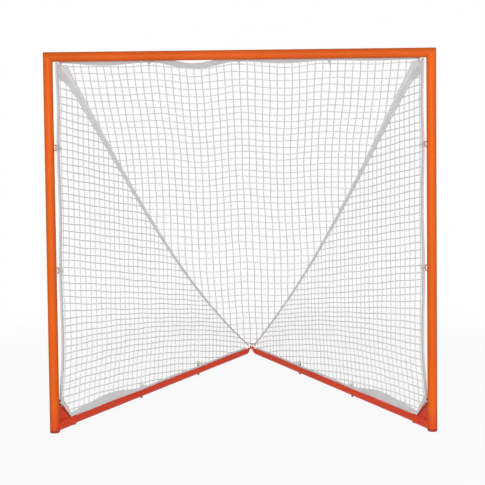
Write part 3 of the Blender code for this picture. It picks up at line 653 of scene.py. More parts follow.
def tube_ring(side, along, level, half_width, half_height):
    """A ring of the bar where it is round, or oval on its way to the flat."""
    way = turn * side_sign[side]
    return bar_place(side, along, half_width * np.cos(way), level + half_height * np.sin(way))


def tab_ring(side, along, level, half_width, half_height):
    """A ring of the flattened end: flat faces with rounded edges."""
    way = turn * side_sign[side]
    rise = np.clip(tab_edge_rise * np.sin(way), -1, 1)
    edge = half_height * np.sqrt(1 - rise**2) * np.sign(np.cos(way))
    inward = (half_width - half_height) * np.clip(tab_face_spread * np.cos(way), -1, 1) + edge
    return bar_place(side, along, inward, level + half_height * rise)


def ground_bar(side):
    """The bar's bore, its round length, the ramp to the flat and the rounded tip of the tab."""
    half_tab = tab_thickness / 2
    tab_level = bar_top - half_tab
    if side == "right":
        tab_level -= tab_thickness + tab_gap
    ramp_start = bar_length - tab_flat - tab_ramp
    bore = bar_radius - bar_wall
    rings = [tube_ring(side, ramp_start - bar_wall, socket_axis_z, bore, bore)]
    rings += [tube_ring(side, bar_start, socket_axis_z, radius, radius) for radius in (bore, bar_radius)]
    for t in np.linspace(0, 1, 13):
        share = ease(t)
        level = mixed(socket_axis_z, tab_level, share)
        half_width = mixed(bar_radius, tab_half_width, share)
        half_height = mixed(bar_radius, half_tab, share)
        sizes = (side, ramp_start + tab_ramp * t, level, half_width, half_height)
        rings.append(mixed(tube_ring(*sizes), tab_ring(*sizes), share**4))
    for angle in np.radians(np.linspace(0, 84, 15)):
        half = max(tab_half_width * math.cos(angle), half_tab + 0.0005)
        rings.append(tab_ring(side, bar_length + tab_half_width * math.sin(angle), tab_level, half, half_tab))
    return ring_mesh(rings, closed=False)


for side in ("left", "right"):
    shape = ground_bar(side)
    build_piece(f"{side}_bar_tube", shape, bar_coat, (f"{side}_ground_bar",), 45)

# ---- Stop bolts ---------------------------------------------------------------------------------
# A black bolt through each ground bar meets the socket's mouth, with its nut under the bar.
for side in ("left", "right"):
    for node in ("stop_bolt", "stop_nut"):
        dress(f"{side}_{node}", black_steel)

# ---- Apex bolt, washer and nut ------------------------------------------------------------------
# A zinc-plated bolt comes up through both flattened ends, under a wide washer and a hex nut.
# The plating is yellowed and lightly streaked.


def zinc_group():
    """Yellowed zinc plate: fine brushing, cloudy passivation."""
    group, given = make_group("zinc_plate", {"Place": (0, 0, 0)}, ("Tone", "Roughness", "Relief"))
    tone = ramp(group, noise(group, given["Place"], 110.0, 3.0), 0.32, 0.68)
    grain = noise(group, given["Place"], 700.0, 3.0, (1.0, 1.0, 0.2))
    rough = calculate(group, "MULTIPLY_ADD", grain, 0.22, 0.24)
    return give(group, Tone=tone, Roughness=rough, Relief=grain)


def zinc_finish():
    """Pale yellow plating, browner in clouds."""
    finish, tree, shader, place = new_finish("zinc_hardware", 0.34, metallic=0.85)
    skin = place_group(tree, zinc_group(), place)
    shade = mix_colours(tree, skin["Tone"], (0.56, 0.40, 0.25), (0.72, 0.60, 0.45))
    cover(tree, shader, shade, skin, 0.00006)
    return finish


zinc_hardware = zinc_finish()
for node in ("apex_bolt", "apex_washer", "apex_nut"):
    dress(node, zinc_hardware)

# ---- Lacing eyes --------------------------------------------------------------------------------
# Bent 5 mm rod staples are welded behind the crossbar and posts and painted with them. Black eye
# bolts stand on the ground bars. The net is tied to all of them.
orange_coat = painted("orange_powder_coat", orange_paint, 0.22, 0.06)
eye_rod = 0.005
eye_half_spread = 0.013
eye_bend = 0.005
eye_start = post_radius + 0.0005
eye_weld_gap = 0.0008
eye_weld_radius = 0.0014


def staple_frame(node, along):
    """A staple's tube axis point, its outward direction and how far out its rod's middle stands."""
    low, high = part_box(node)
    middle = (low + high) / 2
    if along.x:
        axis = Vector((middle.x, goal_line_y, crossbar_z))
        out = Vector((0, high.y - goal_line_y, low.z - crossbar_z))
    else:
        axis = Vector((math.copysign(post_x, middle.x), goal_line_y, middle.z))
        inner_x = low.x if middle.x > 0 else high.x
        out = Vector((inner_x - axis.x, high.y - goal_line_y, 0))
    rod_middle = Vector([c - math.copysign(eye_rod / 2, c) if c else 0.0 for c in out])
    return axis, rod_middle.normalized(), rod_middle.length


def staple(node, along):
    """The bent rod: two legs from the tube's surface, round corners and a straight back."""
    axis, out, reach = staple_frame(node, along)
    path = [axis + along * eye_half_spread + out * eye_start]
    for first, leg in ((0, 1), (90, -1)):
        centre = axis + along * leg * (eye_half_spread - eye_bend) + out * (reach - eye_bend)
        for k in range(8):
            angle = math.radians(first + 90 * k / 7)
            path.append(centre + eye_bend * (math.cos(angle) * along + math.sin(angle) * out))
    path.append(axis - along * eye_half_spread + out * eye_start)
    return tube_mesh(np.array(path), eye_rod / 2, 20, tuple(along.cross(out)))


def foot_welds(node, along):
    """A small bead round each foot of a staple; along is the tube's own direction."""
    axis, out, _ = staple_frame(node, along)
    side_way = along.cross(out).normalized()
    foot = eye_rod / 2 + eye_weld_gap
    beads = []
    for sign in (-1, 1):
        ring = []
        for k in range(18):
            angle = math.tau * k / 18
            across = math.sin(angle) * foot
            rise = math.sqrt(post_radius**2 - across**2)
            spot = axis + along * (sign * eye_half_spread + math.cos(angle) * foot)
            ring.append(spot + out * rise + side_way * across)
        ring = np.array(ring)
        beads.append(tube_mesh(ring, weld_bead(ring, eye_weld_radius, 11), 6, tuple(out), closed=True))
    return beads


eye_names = [f"crossbar_eye_{i}" for i in range(1, 6)]
staples = [(node, Vector((1, 0, 0))) for node in eye_names]
staples += [(f"{side}_post_eye_{i}", Vector((0, 0, 1))) for side in ("left", "right") for i in (1, 2)]
eye_beads = []
for node, along in staples:
    build_piece(f"{node}_rod", staple(node, along), orange_coat, (node,), 50)
    eye_beads += foot_welds(node, along)
build_piece("eye_welds", gather(eye_beads), orange_coat)
for side in ("left", "right"):
    for number in (1, 2):
        dress(f"{side}_eye_bolt_{number}", black_steel)
        dress(f"{side}_eye_nut_{number}", black_steel)

# ---- Nets ---------------------------------------------------------------------------------------
# Knotted twine, 4.8 mm thick, in a square mesh. The back net hangs from the crossbar to the apex
# between the two seams, and a side net fills each triangle from post to ground bar.
net_top = crossbar_z - 0.022
lace_offset = 0.0038
seam_start = 0.050
seam_length = bar_length - 0.054 - seam_start
seam_end_z = bar_top + 0.016
seam_sag = {"left": 0.135, "right": 0.100}
seam_inset = 0.036
seam_extra = 0.004
seam_flare = 0.020
edge_start = 0.040
post_band = 0.012
bottom_band = 0.025
top_band = 0.014
post_eye_heights = (0.810, 1.420)
eye_bolt_stations = (0.842, 1.511)
gusset_height = gusset_top - socket_high.z - 0.0003
corner_cut = 0.008
gusset_reach = 0.108
twine_radius = 0.0024
twine_sides = 6
tuck = 0.005
net_run = 2.75
back_pitch = 0.0375
side_column_pitch = 0.0478
side_row_pitch = 0.0372
strand_step = 0.004


def humps(position, stops, heights):
    """Smooth humps of the given heights between neighbouring stops."""
    total = np.zeros_like(np.asarray(position, float))
    for a, b, height in zip(stops, stops[1:], heights):
        inside = (position >= a) & (position <= b)
        total = np.where(inside, height * np.sin(math.pi * (position - a) / (b - a)) ** 2, total)
    return total


def side_offset(along, z):
    """How far into the goal a side net stands: near the bar at its foot, on the edge line above."""
    seam = mixed(seam_inset, lace_offset, np.clip((along - seam_start) / seam_length, 0, 1))
    edge = 0.020 + humps(z, (gusset_height, *post_eye_heights, net_top), (0.006,) * 3)
    front = (edge - seam_inset) * np.exp(-np.maximum(along - edge_start, 0) / 0.150)
    return lace_offset + ease((z - bar_top) / 0.35) * (seam + front - lace_offset)


def side_place(side, along, z):
    return bar_place(side, along, side_offset(along, z), z)


def seam_height(side, u):
    u = np.clip(u, 0, 1)
    return mixed(net_top, seam_end_z, u) - seam_sag[side] * np.sin(math.pi * u**1.15)


def seam_place(side, u):
    return side_place(side, seam_start + seam_length * u, seam_height(side, u))


def seam_half_width(u):
    """Half the seam strip's width: flared at the corner, narrow at the apex."""
    u = np.clip(u, 0, 1)
    narrow = 1 - 0.42 * ease((u - 0.04) / 0.34)
    return mixed(0.025, 0.007, u**0.6) * narrow + seam_extra * (1 - u) + seam_flare * np.exp(-u / 0.022)


def seam_drop(side, u):
    """Height of the seam band's lower leg, measured straight down a side net."""
    before, after = np.clip(u - 0.01, 0, 1), np.clip(u + 0.01, 0, 1)
    slope = np.arctan2(seam_height(side, before) - seam_height(side, after), seam_length * (after - before))
    return seam_half_width(u) / np.cos(slope)


def bottom_height(along):
    """Lower edge of a side net: cut off at the gusset, lifted a little between the ties."""
    corner = edge_start + gusset_reach - corner_cut
    socket_step = (socket_high.z - bar_top) * (1 - ease((along - 0.166) / 0.166))
    cut_off = (gusset_height - corner_cut) * np.maximum(corner - along, 0) / (gusset_reach - corner_cut)
    stops = (corner, *eye_bolt_stations, seam_start + seam_length)
    return bar_top + 0.002 + socket_step + cut_off + humps(along, stops, (0.004, 0.004, 0.002))


def bottom_width(along):
    """Width of the bottom band: slim at the gusset's corner, fullest in its first span, then narrow."""
    corner = edge_start + gusset_reach - corner_cut
    narrow = mixed(bottom_band, 0.006, ease((along - 0.50) / 0.50))
    narrow = narrow - 0.009 * np.exp(-(((along - corner) / 0.060) ** 2))
    return narrow + humps(along, (corner, eye_bolt_stations[0]), (0.018,))


eye_reach = post_x - post_radius - 0.030
eye_places = [mixed(-eye_reach, eye_reach, i / 4) for i in range(5)]
top_scallops = (0.013, 0.036, 0.012, 0.004)


def back_place(u, q):
    """Points of the back net: u down the seams, q from the left seam to the right one."""
    u, q = np.broadcast_arrays(np.asarray(u, float), np.asarray(q, float))
    left, right = seam_place("left", u), seam_place("right", u)
    spot = left + (right - left) * q[..., None]
    hang = humps(spot[..., 0], eye_places, top_scallops) * (1 - np.clip(u, 0, 1)) ** 4
    spot[..., 2] -= hang + 0.035 * np.sin(math.pi * q) * np.sin(math.pi * np.clip(u, 0, 1))
    return spot


def back_share(u, width):
    """A width as a share of the back net's own width there."""
    return width / np.linalg.norm(seam_place("right", u) - seam_place("left", u), axis=-1)


def back_u(x, z):
    """How far down the seams the back net is at a width and a height."""
    x, z = np.broadcast_arrays(np.asarray(x, float), np.asarray(z, float))
    low, high = np.zeros(x.shape), np.ones(x.shape)
    for _ in range(22):
        u = (low + high) / 2
        left, right = seam_place("left", u)[..., 0], seam_place("right", u)[..., 0]
        q = np.clip((x - left) / np.maximum(right - left, 1e-6), 0, 1)
        above = back_place(u, q)[..., 2] > z
        low, high = np.where(above, u, low), np.where(above, high, u)
    return u, (x - left) / np.maximum(right - left, 1e-6)


class Drift:
    """A small, slow, seeded wander, so that no two strands of the net run quite alike."""

    def __init__(self, seed, size, lengths):
        draw = random.Random(seed)
        self.parts = [(size * draw.uniform(0.5, 1.0) / len(lengths), math.tau / length,
                       draw.uniform(0, math.tau), draw.uniform(-2.2, 2.2)) for length in lengths]

    def at(self, position, strand):
        return sum(a * np.sin(w * position + p + strand * k) for a, w, p, k in self.parts)


class BackPanel:
    """The back net's strands: column is the width at the top, row the height on the middle line."""

    name = "back_net"
    guide = (0.0, 0.68, 0.73)
    columns = [back_pitch * k for k in range(-25, 26)]
    column_span = (0.03, 1.86)
    row_span = (-0.95, 0.95)
    wander = Drift(21, 0.0042, (0.41, 0.23, 0.97))
    rise = Drift(22, 0.0040, (0.37, 0.21, 0.83))

    def __init__(self):
        self.rows = []
        height = net_top - 0.024
        while height > 0.06:
            self.rows.append(height)
            height -= mixed(0.0455, 0.0345, ease((height - 0.75) / 0.60))

    def spot(self, column, row):
        """Where a column crosses a height, and whether the net still is there."""
        column, row = np.broadcast_arrays(np.asarray(column, float), np.asarray(row, float))
        spread = 1 + 0.05 * ease((1.15 - row) / 0.55) - 0.035 * np.exp(-(((row - 1.35) / 0.28) ** 2))
        x = column * spread + self.wander.at(row, column / back_pitch)
        fade = ease((row - 0.1) / 1.9)
        sag = humps(x, eye_places, (0.004, 0.020, 0.015, 0.006)) * mixed(0.30, 1.0, fade)
        ridge = 0.010 * np.exp(-(((x + 0.01) / 0.10) ** 2)) * (1 - fade)
        z = row - sag + ridge + self.rise.at(x, row / 0.038)
        u, q = back_u(x, z)
        edge = back_share(u, seam_half_width(u) - tuck)
        first = (top_band - 2 * tuck) / net_run
        held = (u > first) & (u < 0.978) & (q > edge) & (q < 1 - edge)
        return back_place(u, q), held


class SidePanel:
    """A side net's strands: column is the distance along the bar, row the height at the post."""

    def __init__(self, side):
        self.side = side
        self.name = f"{side}_side_net"
        self.guide = tuple(bar_place(side, 0.0, 1.0, 0.0) - bar_place(side, 0.0, 0.0, 0.0))
        self.columns = [0.068 + side_column_pitch * k for k in range(46)]
        self.rows = [0.088 + side_row_pitch * k for k in range(60)]
        self.column_span = (0.02, 2.6)
        self.row_span = (0.03, 2.24)
        self.wander = Drift(31 if side == "left" else 32, 0.0046, (0.43, 0.25, 1.1))
        self.rise = Drift(41 if side == "left" else 42, 0.0048, (0.52, 0.31, 1.3))

    def spot(self, column, row):
        column, row = np.broadcast_arrays(np.asarray(column, float), np.asarray(row, float))
        along = column + self.wander.at(row, column / side_column_pitch)
        high = ease((row - 0.28) / 0.52)
        droop = mixed(0.057 * along**2, 0.166 * along, high)
        z = row - droop + self.rise.at(along, row / side_row_pitch)
        u = (along - seam_start) / seam_length
        low = bottom_height(along) + bottom_width(along) - tuck
        top = seam_height(self.side, u) - seam_drop(self.side, u) + tuck
        held = (along > edge_start + post_band - tuck) & (u < 0.975) & (z > low) & (z < top)
        return side_place(self.side, along, z), held


def strands(panel):
    """Every strand of twine of a panel: each has a point at its knots and one between them."""
    lines = [(value, panel.column_span, panel.rows, True) for value in panel.columns]
    lines += [(value, panel.row_span, panel.columns, False) for value in panel.rows]
    shapes = []
    for value, span, stops, upright in lines:
        track = np.arange(*span, strand_step)
        spots, held = panel.spot(value, track) if upright else panel.spot(track, value)
        marks = sorted({round((stop - span[0]) / strand_step) for stop in stops})
        edges = np.flatnonzero(np.diff(np.concatenate([[0], held.astype(int), [0]])))
        for first, last in zip(edges[::2], edges[1::2] - 1):
            if last - first < 3:
                continue
            path = [first]
            for i in [*[mark for mark in marks if first < mark < last], last]:
                if i - path[-1] > 6:
                    path.append((i + path[-1]) // 2)
                path.append(i)
            shapes.append(tube_mesh(spots[path], twine_radius, twine_sides, panel.guide))
    return shapes


def knots(panel, seed):
    """A wrap and a quarter of twine, tight and askew, round each crossing."""
    draw = random.Random(seed)
    columns, rows = np.meshgrid(panel.columns, panel.rows)
    here, held = panel.spot(columns, rows)
    across = unit((panel.spot(columns + strand_step, rows)[0] - here)[held])
    down = unit((panel.spot(columns, rows - strand_step)[0] - here)[held])
    turned_by = np.linspace(0, math.tau * 1.25, 8)
    shift = np.linspace(-0.0019, 0.0019, 8)[:, None]
    shapes = []
    for spot, first, second in zip(here[held], across, down):
        out = unit(np.cross(first, second))
        slant = draw.uniform(0.5, 0.9)
        core = unit(second * math.cos(slant) + first * math.sin(slant))
        rim = np.cross(core, out)
        angle = (draw.uniform(0, math.tau) + turned_by)[:, None]
        loop = spot + core * shift + twine_radius * (np.cos(angle) * rim + np.sin(angle) * out)
        shapes.append(tube_mesh(loop, twine_radius * 0.88, 5, core))
    return shapes


def twine_group():
    """Three-strand twist seen as slanting ridges, with fuzz and faint soiling along the strand."""
    group, given = make_group(
        "laid_twine", {"Place": (0, 0, 0), "Lay": (0, 0, 0), "Lay length": 0.009}, ("Ridge", "Soil", "Relief")
    )
    turns = calculate(group, "DIVIDE", part_of(group, given["Lay"], 0), given["Lay length"])
    turns = calculate(group, "MULTIPLY", turns, 3.0)
    phase = calculate(group, "MULTIPLY_ADD", part_of(group, given["Lay"], 1), 3.0, turns)
    wave = calculate(group, "SINE", calculate(group, "MULTIPLY", phase, math.pi))
    ridge = calculate(group, "ABSOLUTE", wave)
    fuzz = noise(group, given["Place"], 2600.0, 2.0)
    relief = calculate(group, "MULTIPLY_ADD", fuzz, 0.5, ridge)
    soil = ramp(group, noise(group, given["Place"], 5.0, 4.0), 0.35, 0.75)
    return give(group, Ridge=ridge, Soil=soil, Relief=relief)


laid_twine = twine_group()
clean_twine = (0.92, 0.92, 0.92)
soiled_twine = (0.86, 0.865, 0.865)
top_darkening = 0.78


def lay_group(tree, group, place, **values):
    """A node group that also follows the layout along and around a strand or a band."""
    skin = place_group(tree, group, place, **values)
    lay = add_node(tree, "ShaderNodeUVMap", uv_map="lay").outputs[0]
    tree.links.new(lay, skin["Soil"].node.inputs["Lay"])
    return skin


def twine_finish(name, clean, soiled, lay_length):
    """Twine or cord of one colour, darker towards the top, with painted shade in the grooves between its
    strands.
    """
    finish, tree, shader, place = new_finish(name, 0.72, specular=0.25)
    skin = lay_group(tree, laid_twine, place, Lay_length=lay_length)
    shade = mix_colours(tree, skin["Soil"], clean, soiled)
    # The colour darkens towards the top of the net.
    darker_up_high = ramp(tree, part_of(tree, place, 2), 0.1, 1.6, 0.0, 0.75)
    shade = mix_colours(tree, darker_up_high, shade, tuple(c * top_darkening for c in soiled))
    # Painted shade: the colour darkens in the grooves between the twisted strands.
    groove_shade = calculate(tree, "MULTIPLY_ADD", skin["Ridge"], -0.30, 0.30)
    shade = mix_colours(tree, groove_shade, shade, tuple(c * 0.55 for c in clean))
    cover(tree, shader, shade, skin, 0.00035)
    shader.inputs["Sheen Weight"].default_value = 0.15
    return finish


net_twine = twine_finish("net_twine", clean_twine, soiled_twine, 0.009)
for panel in (BackPanel(), SidePanel("left"), SidePanel("right")):
    twine = gather(strands(panel) + knots(panel, 61))
    build_piece(panel.name + "_twine", twine, net_twine, (panel.name,))

# ---- Webbing bands ------------------------------------------------------------------------------
# White polyester webbing is folded over every edge of the nets and sewn through. A wider strip
# covers each seam between side and back net, flares at the top corner and narrows towards the apex.
webbing_leaf = 0.0012
webbing_half = twine_radius + 0.0004
webbing_face = webbing_half + webbing_leaf
leaf_gap = 0.0003
webbing_hem = webbing_leaf + leaf_gap
top_webbing = 0.012
top_rise = 0.017
top_band_end = 0.0058
post_webbing = 0.015
strip_start = 0.009
strip_flat = 0.65
stitch_pitch = 0.0068
stitch_radius = 0.0006


def webbing_group():
    """Narrow ribs across the band and a fine weave between them, with clouds of soiling; the weave also gives
    painted shade, darker between the ribs.
    """
    group, given = make_group(
        "webbing_weave",
        {"Place": (0, 0, 0), "Lay": (0, 0, 0), "Rib": 0.0021, "Yarn": 0.0011},
        ("Shade", "Soil", "Relief"),
    )
    rib = calculate(group, "DIVIDE", part_of(group, given["Lay"], 0), given["Rib"])
    yarn = calculate(group, "DIVIDE", part_of(group, given["Lay"], 1), given["Yarn"])
    slant = calculate(group, "MULTIPLY_ADD", yarn, 0.5, rib)
    first = calculate(group, "SINE", calculate(group, "MULTIPLY", slant, math.tau))
    second = calculate(group, "SINE", calculate(group, "MULTIPLY", yarn, math.tau))
    weave = calculate(group, "MULTIPLY_ADD", second, 0.25, 0.5)
    weave = calculate(group, "MULTIPLY_ADD", first, 0.35, weave)
    fuzz = noise(group, given["Place"], 1800.0, 2.0)
    relief = calculate(group, "MULTIPLY_ADD", fuzz, 0.4, weave)
    soil = ramp(group, noise(group, given["Place"], 9.0, 4.0), 0.35, 0.75)
    return give(group, Shade=weave, Soil=soil, Relief=relief)


def webbing_finish(name, level):
    """Webbing of one lightness, with painted shade darker between its ribs and paler along them, and duller
    where it is soiled.
    """
    finish, tree, shader, place = new_finish(name, 0.78, specular=0.20)
    skin = lay_group(tree, webbing_weave, place)
    # Painted shade: the weave darkens the colour between the ribs and lightens it along them.
    shade = mix_colours(tree, skin["Shade"], (level * 0.93,) * 3, (level * 1.06,) * 3)
    mottle = ramp(tree, noise(tree, place, 130.0, 2.0), 0.40, 0.62)
    shade = mix_colours(tree, calculate(tree, "MULTIPLY", mottle, 0.6), shade, (level * 0.90,) * 3)
    shade = mix_colours(tree, skin["Soil"], shade, (level * 0.93, level * 0.93, level * 0.92))
    cover(tree, shader, shade, skin, 0.00025)
    shader.inputs["Sheen Weight"].default_value = 0.15
    return finish


webbing_weave = webbing_group()
# One white webbing in four lightnesses, as lit and shaded copies that paint in how light falls on each band:
# painted shade darkest on the top band under the crossbar, less on the edge and seam bands, and painted light
# brightest on the bottom bands along the ground bars.
shaded_top_webbing_finish = webbing_finish("top_webbing", 0.57)
shaded_edge_webbing = webbing_finish("shaded_edge_webbing", 0.72)
lit_foot_webbing = webbing_finish("lit_foot_webbing", 0.95)
seam_webbing = webbing_finish("seam_webbing", 0.78)
seam_thread = twine_finish("seam_thread", (0.84, 0.84, 0.84), (0.78, 0.78, 0.77), 0.0012)


def resampled(rows, steps, marks):
    """Rows of points or directions read at new distances along them."""
    return np.stack([np.interp(marks, steps, rows[:, i]) for i in range(3)], axis=1)


def stitch_line(line, outs):
    """Sewing thread along the webbing's face: up over each stitch, then down into the weave."""
    steps = running(np.linalg.norm(np.diff(line, axis=0), axis=1))
    count = int(steps[-1] / stitch_pitch)
    marks = (np.arange(count)[:, None] + np.array((0.0, 0.28, 0.72))).ravel() * stitch_pitch
    lift = np.tile((-0.0009, 0.0003, 0.0003), count)[:, None]
    outs = unit(resampled(outs, steps, marks))
    return tube_mesh(resampled(line, steps, marks) + outs * lift, stitch_radius, 4, outs.mean(0))


def folded_band(edge, ways, outs, widths):
    """A strip folded round a net edge and pinched at its sewn hem: edge, ways in, faces, widths."""
    hem, middle = edge + ways * widths, edge + ways * widths * 0.55
    ring = [hem + outs * webbing_hem, middle + outs * webbing_face]
    for angle in np.linspace(0, math.pi, 7):
        ring.append(edge + (outs * math.cos(angle) - ways * math.sin(angle)) * webbing_face)
    ring += [
        middle - outs * webbing_face,
        hem - outs * webbing_hem,
        hem - outs * leaf_gap,
        middle - outs * webbing_half,
        edge - outs * webbing_half * 0.8,
        edge - ways * webbing_half * 0.6,
        edge + outs * webbing_half * 0.8,
        middle + outs * webbing_half,
        hem + outs * leaf_gap,
    ]
    return ring_mesh(np.stack(ring, axis=1), closed=False)


def stitched_band(name, edge, inner, node, finish, rows):
    """The band, and its rows of stitches on both faces; rows are shares of its width."""
    widths = np.linalg.norm(inner - edge, axis=-1, keepdims=True)
    ways = unit(inner - edge)
    outs = unit(np.cross(np.gradient(edge, axis=0), ways))
    shape = folded_band(edge, ways, outs, widths)
    build_piece(name + "_webbing", shape, finish, (node,), 60)
    stitches = []
    for share in rows:
        rise = np.interp(share, (0.55, 1.0), (webbing_face, webbing_hem)) * 1.02
        for out in (-outs, outs):
            stitches.append(stitch_line(edge + ways * widths * share + out * rise, out))
    build_piece(name + "_stitches", gather(stitches), seam_thread)


def seam_strip(side):
    """The two faces of a seam strip and its stitches, following the fold between the nets."""
    u = np.linspace(strip_start, 1, 200)
    along = seam_start + seam_length * u
    along = along - (along[0] - edge_start - 0.002) * (1 - ease((u - strip_start) / 0.03))
    ridge = side_place(side, along, seam_height(side, u))
    lower_leg = side_place(side, along, seam_height(side, u) - seam_drop(side, u))
    share = back_share(u, seam_half_width(u))
    upper_leg = back_place(u, share if side == "left" else 1 - share)
    ridge += ((lower_leg + upper_leg) / 2 - ridge) * strip_flat * ease((u - strip_start) / 0.05)[:, None]
    ahead = unit(np.gradient(ridge, axis=0))
    below = unit(np.cross(lower_leg - ridge, ahead))
    above = unit(np.cross(ahead, upper_leg - ridge))
    fold = unit(below + above)
    strips, stitches = [], []
    for face in (1, -1):
        layers = []
        for offset in (webbing_half * face, webbing_face * face):
            hem = offset - (webbing_half - leaf_gap) * face
            layers.append([
                lower_leg + below * hem,
                (lower_leg + ridge) / 2 + below * offset * 1.05,
                lower_leg * 0.15 + ridge * 0.85 + (below * 0.8 + fold * 0.2) * offset,
                ridge + fold * offset,
                upper_leg * 0.15 + ridge * 0.85 + (above * 0.8 + fold * 0.2) * offset,
                (upper_leg + ridge) / 2 + above * offset * 1.05,
                upper_leg + above * hem,
            ])
        rings = np.stack(layers[0] + layers[1][::-1], axis=1)
        if face == (1 if side == "left" else -1):
            rings = rings[:, ::-1]
        strips.append(ring_mesh(rings, closed=False))
        for leg, out in ((lower_leg, below), (upper_leg, above)):
            for part, rise in ((0.14, 0.55), (0.84, 1.03)):
                line = ridge * part + leg * (1 - part) + out * webbing_face * face * rise
                stitches.append(stitch_line(line, out * face))
    return gather(strips), gather(stitches)


top_q = top_band_end + (1 - 2 * top_band_end) * np.linspace(0, 1, 160)
top_edge = back_place(0.0, top_q) + np.array((0.0, 0.003, top_rise))
top_inner = back_place(top_webbing / net_run, top_q)
stitched_band("top_band", top_edge, top_inner, "top_band", shaded_top_webbing_finish, (0.20, 0.85))

for side in ("left", "right"):
    name = f"{side}_post_band"
    heights = np.linspace(bottom_height(edge_start), seam_height(side, 0.0) - 0.004, 160)
    post_edge = side_place(side, edge_start, heights)
    post_inner = side_place(side, edge_start + post_webbing, heights)
    stitched_band(name, post_edge, post_inner, name, shaded_edge_webbing, (0.25, 0.80))
    name = f"{side}_bottom_band"
    stations = np.concatenate([
        np.linspace(edge_start + 0.002, edge_start + 0.100, 24)[:-1],
        np.linspace(edge_start + 0.100, seam_start + seam_length * 0.985, 175),
    ])
    lower = bottom_height(stations)
    low_edge = side_place(side, stations, lower)
    low_inner = side_place(side, stations, lower + bottom_width(stations))
    stitched_band(name, low_edge, low_inner, name, lit_foot_webbing, (0.18, 0.82))
    strip, thread = seam_strip(side)
    build_piece(f"{side}_seam_webbing", strip, seam_webbing, (f"{side}_seam_band",), 60)
    build_piece(f"{side}_seam_stitches", thread, seam_thread)

# ---- Lacing ties --------------------------------------------------------------------------------
# Short lengths of braided cord tie the bands to every eye, to the gusset slots and to the apex
# bolt: a few wraps, then a knot with two cut tails. A dark cord lies on each gusset, and its black also
# stands in for the shade along the plate's sloping edge.
tie_cord = twine_finish("tie_cord", (0.88, 0.86, 0.82), (0.80, 0.77, 0.72), 0.006)
cord_radius = 0.0015
# The dark cord is partly a real cord and partly painted shade along the gusset's sloping edge.
shade_dark_cord = twine_finish("shade_dark_cord", (0.030, 0.026, 0.024), (0.050, 0.040, 0.032), 0.006)
foot_cord_radius = 0.0022
across_goal = np.array((1.0, 0.0, 0.0))
up = np.array((0.0, 0.0, 1.0))
slot_along = 0.024
slot_drop = 0.034
slot_hem_along = edge_start + 0.018
knot_radius = 0.003


def tie(centre, long_way, short_way, stack_way, long_half, short_half, turns, seed):
    """Wraps round an oval of the given half sizes, stacked beside each other, with a knot."""
    draw = random.Random(seed)
    angle = np.linspace(0, math.tau * turns, 26 * turns + 1)[:, None]
    oval = np.sign(np.cos(angle)) * np.abs(np.cos(angle)) ** 0.8 * long_half
    flat = np.sign(np.sin(angle)) * np.abs(np.sin(angle)) ** 0.8 * short_half
    flat += [[draw.uniform(-0.00015, 0.00015)] for _ in angle]
    stack = (angle / math.tau - turns / 2) * cord_radius * 2.3
    loop = centre + oval * long_way + flat * short_way + stack * stack_way
    shapes = [tube_mesh(loop, cord_radius, 7, stack_way)]
    knot_at = centre + short_way * (short_half + cord_radius * 1.6)
    ring = np.linspace(0, math.tau * 1.6, 22)[:, None]
    for lean in (0.6, -0.6):
        across = long_way * math.cos(lean) + stack_way * math.sin(lean)
        core = stack_way * math.cos(lean) - long_way * math.sin(lean)
        wrap = knot_radius * (np.cos(ring) * across + np.sin(ring) * short_way)
        wrap += (ring / math.tau - 0.8) * cord_radius * 1.8 * core
        shapes.append(tube_mesh(knot_at + wrap, cord_radius, 7, core))
    t = np.linspace(0, 1, 9)[:, None]
    guide = np.cross(long_way, up) + np.array((0.1, 0.13, 0.02))
    for sign in (-1, 1):
        spread = 0.016 + draw.uniform(0, 0.006)
        tail = short_way * 0.004 * np.sin(math.pi * t * 0.8)
        tail += (long_way * spread * 0.45 + stack_way * 0.004) * sign * t
        tail -= up * spread * t**1.5 * 0.9
        shapes.append(tube_mesh(knot_at + tail, cord_radius * 0.9, 7, guide))
    return shapes


def between(rod, hem):
    """Middle, direction and half length of the way from a rod to a hem."""
    return (rod + hem) / 2, unit(hem - rod), np.linalg.norm(hem - rod) / 2


def foot_cord(side):
    """A dark cord down the plate's inward face, from below the slot, and wound at its end; its black also
    stands in for the shade along the plate's edge.
    """
    face = plate_half + foot_cord_radius
    top_along, top_z = post_radius + 0.010, gusset_top - 0.026
    end_along, end_z = post_radius + plate_weld_length, socket_high.z + 0.008
    t = np.linspace(0, 1, 60)
    lift = -0.0034 + 0.0005 * np.sin(9.0 * t)
    along = mixed(top_along, end_along, t) + lift * 0.7
    straight = bar_place(side, along, face, mixed(top_z, end_z, t) + lift)
    t = np.linspace(0, 1, 40)[1:]
    angle = math.tau * 1.5 * t
    along = end_along + 0.003 + 0.004 * np.cos(angle)
    wound = bar_place(side, along, face * np.cos(angle), end_z - 0.012 * t + 0.003)
    return tube_mesh(np.concatenate([straight, wound]), foot_cord_radius, 8, (0.21, 0.13, 0.97))


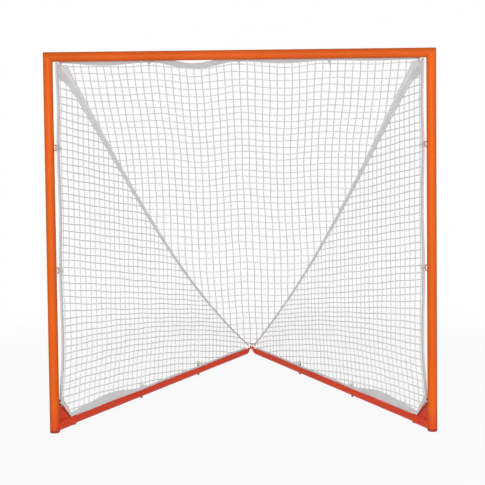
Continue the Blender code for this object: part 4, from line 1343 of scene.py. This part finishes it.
ties = []
for number, node in enumerate(eye_names):
    low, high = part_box(node)
    x = (low.x + high.x) / 2
    out = np.array((0.0, high.y - goal_line_y, low.z - crossbar_z))
    rod = np.array((x, goal_line_y, crossbar_z)) + out - unit(out) * eye_rod
    hem = back_place(top_webbing / net_run, np.clip((x + post_x) / (2 * post_x), 0.03, 0.97))
    hem[0] = x
    middle, long_way, half = between(rod, hem)
    short_way = unit(np.cross(long_way, across_goal))
    ties += tie(middle, long_way, short_way, across_goal, half + 0.006, 0.0058, 3, number)
for side in ("left", "right"):
    corner = bar_place(side, 0.0, 0.0, 0.0)
    along_bar = bar_place(side, 1.0, 0.0, 0.0) - corner
    inward = bar_place(side, 0.0, 1.0, 0.0) - corner
    for number in (1, 2):
        low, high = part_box(f"{side}_post_eye_{number}")
        x = high.x - eye_rod / 2 if side == "left" else low.x + eye_rod / 2
        z = (low.z + high.z) / 2
        rod = np.array((x, high.y - eye_rod / 2, z))
        middle, long_way, half = between(rod, side_place(side, edge_start + post_band * 0.85, z))
        short_way = unit(np.cross(up, long_way))
        short_way *= -np.sign(short_way[1])
        ties += tie(middle, long_way, short_way, up, half + 0.006, 0.0060, 6, 10 + number)
        eye_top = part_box(f"{side}_eye_bolt_{number}")[1].z
        hem_top = bar_top + 0.002 + bottom_band + 0.004
        level = (eye_top - eye_rod + 0.001 + hem_top) / 2
        middle = bar_place(side, eye_bolt_stations[number - 1], 0.0025, level)
        half = (hem_top - eye_top + eye_rod + 0.003) / 2
        ties += tie(middle, up, inward, along_bar, half, 0.0078, 3, 20 + number)
    slot = bar_place(side, post_radius + slot_along, 0.0, gusset_top - slot_drop)
    hem = side_place(side, slot_hem_along, bottom_height(slot_hem_along) + 0.010)
    middle, long_way, half = between(slot, hem)
    stack_way = unit(np.cross(long_way, inward))
    short_way = unit(np.cross(stack_way, long_way))
    ties += tie(middle, long_way, short_way, stack_way, half + 0.004, 0.0070, 7, 30)
apex_top = np.array((0.0, goal_line_y + depth, apex_high.z - 0.004))
for number, side in enumerate(("left", "right")):
    middle, long_way, half = between(apex_top, seam_place(side, 0.985))
    short_way = unit(np.cross(up, long_way))
    stack_way = unit(np.cross(long_way, short_way))
    middle = middle + stack_way * 0.0035 * (1 - 2 * number)
    ties += tie(middle, long_way, short_way, stack_way, half + 0.005, 0.0068, 2, 40 + number)
foot_cords = [foot_cord(side) for side in ("left", "right")]
build_piece("foot_cords", gather(foot_cords), shade_dark_cord)
build_piece("lacing_ties", gather(ties), tie_cord)
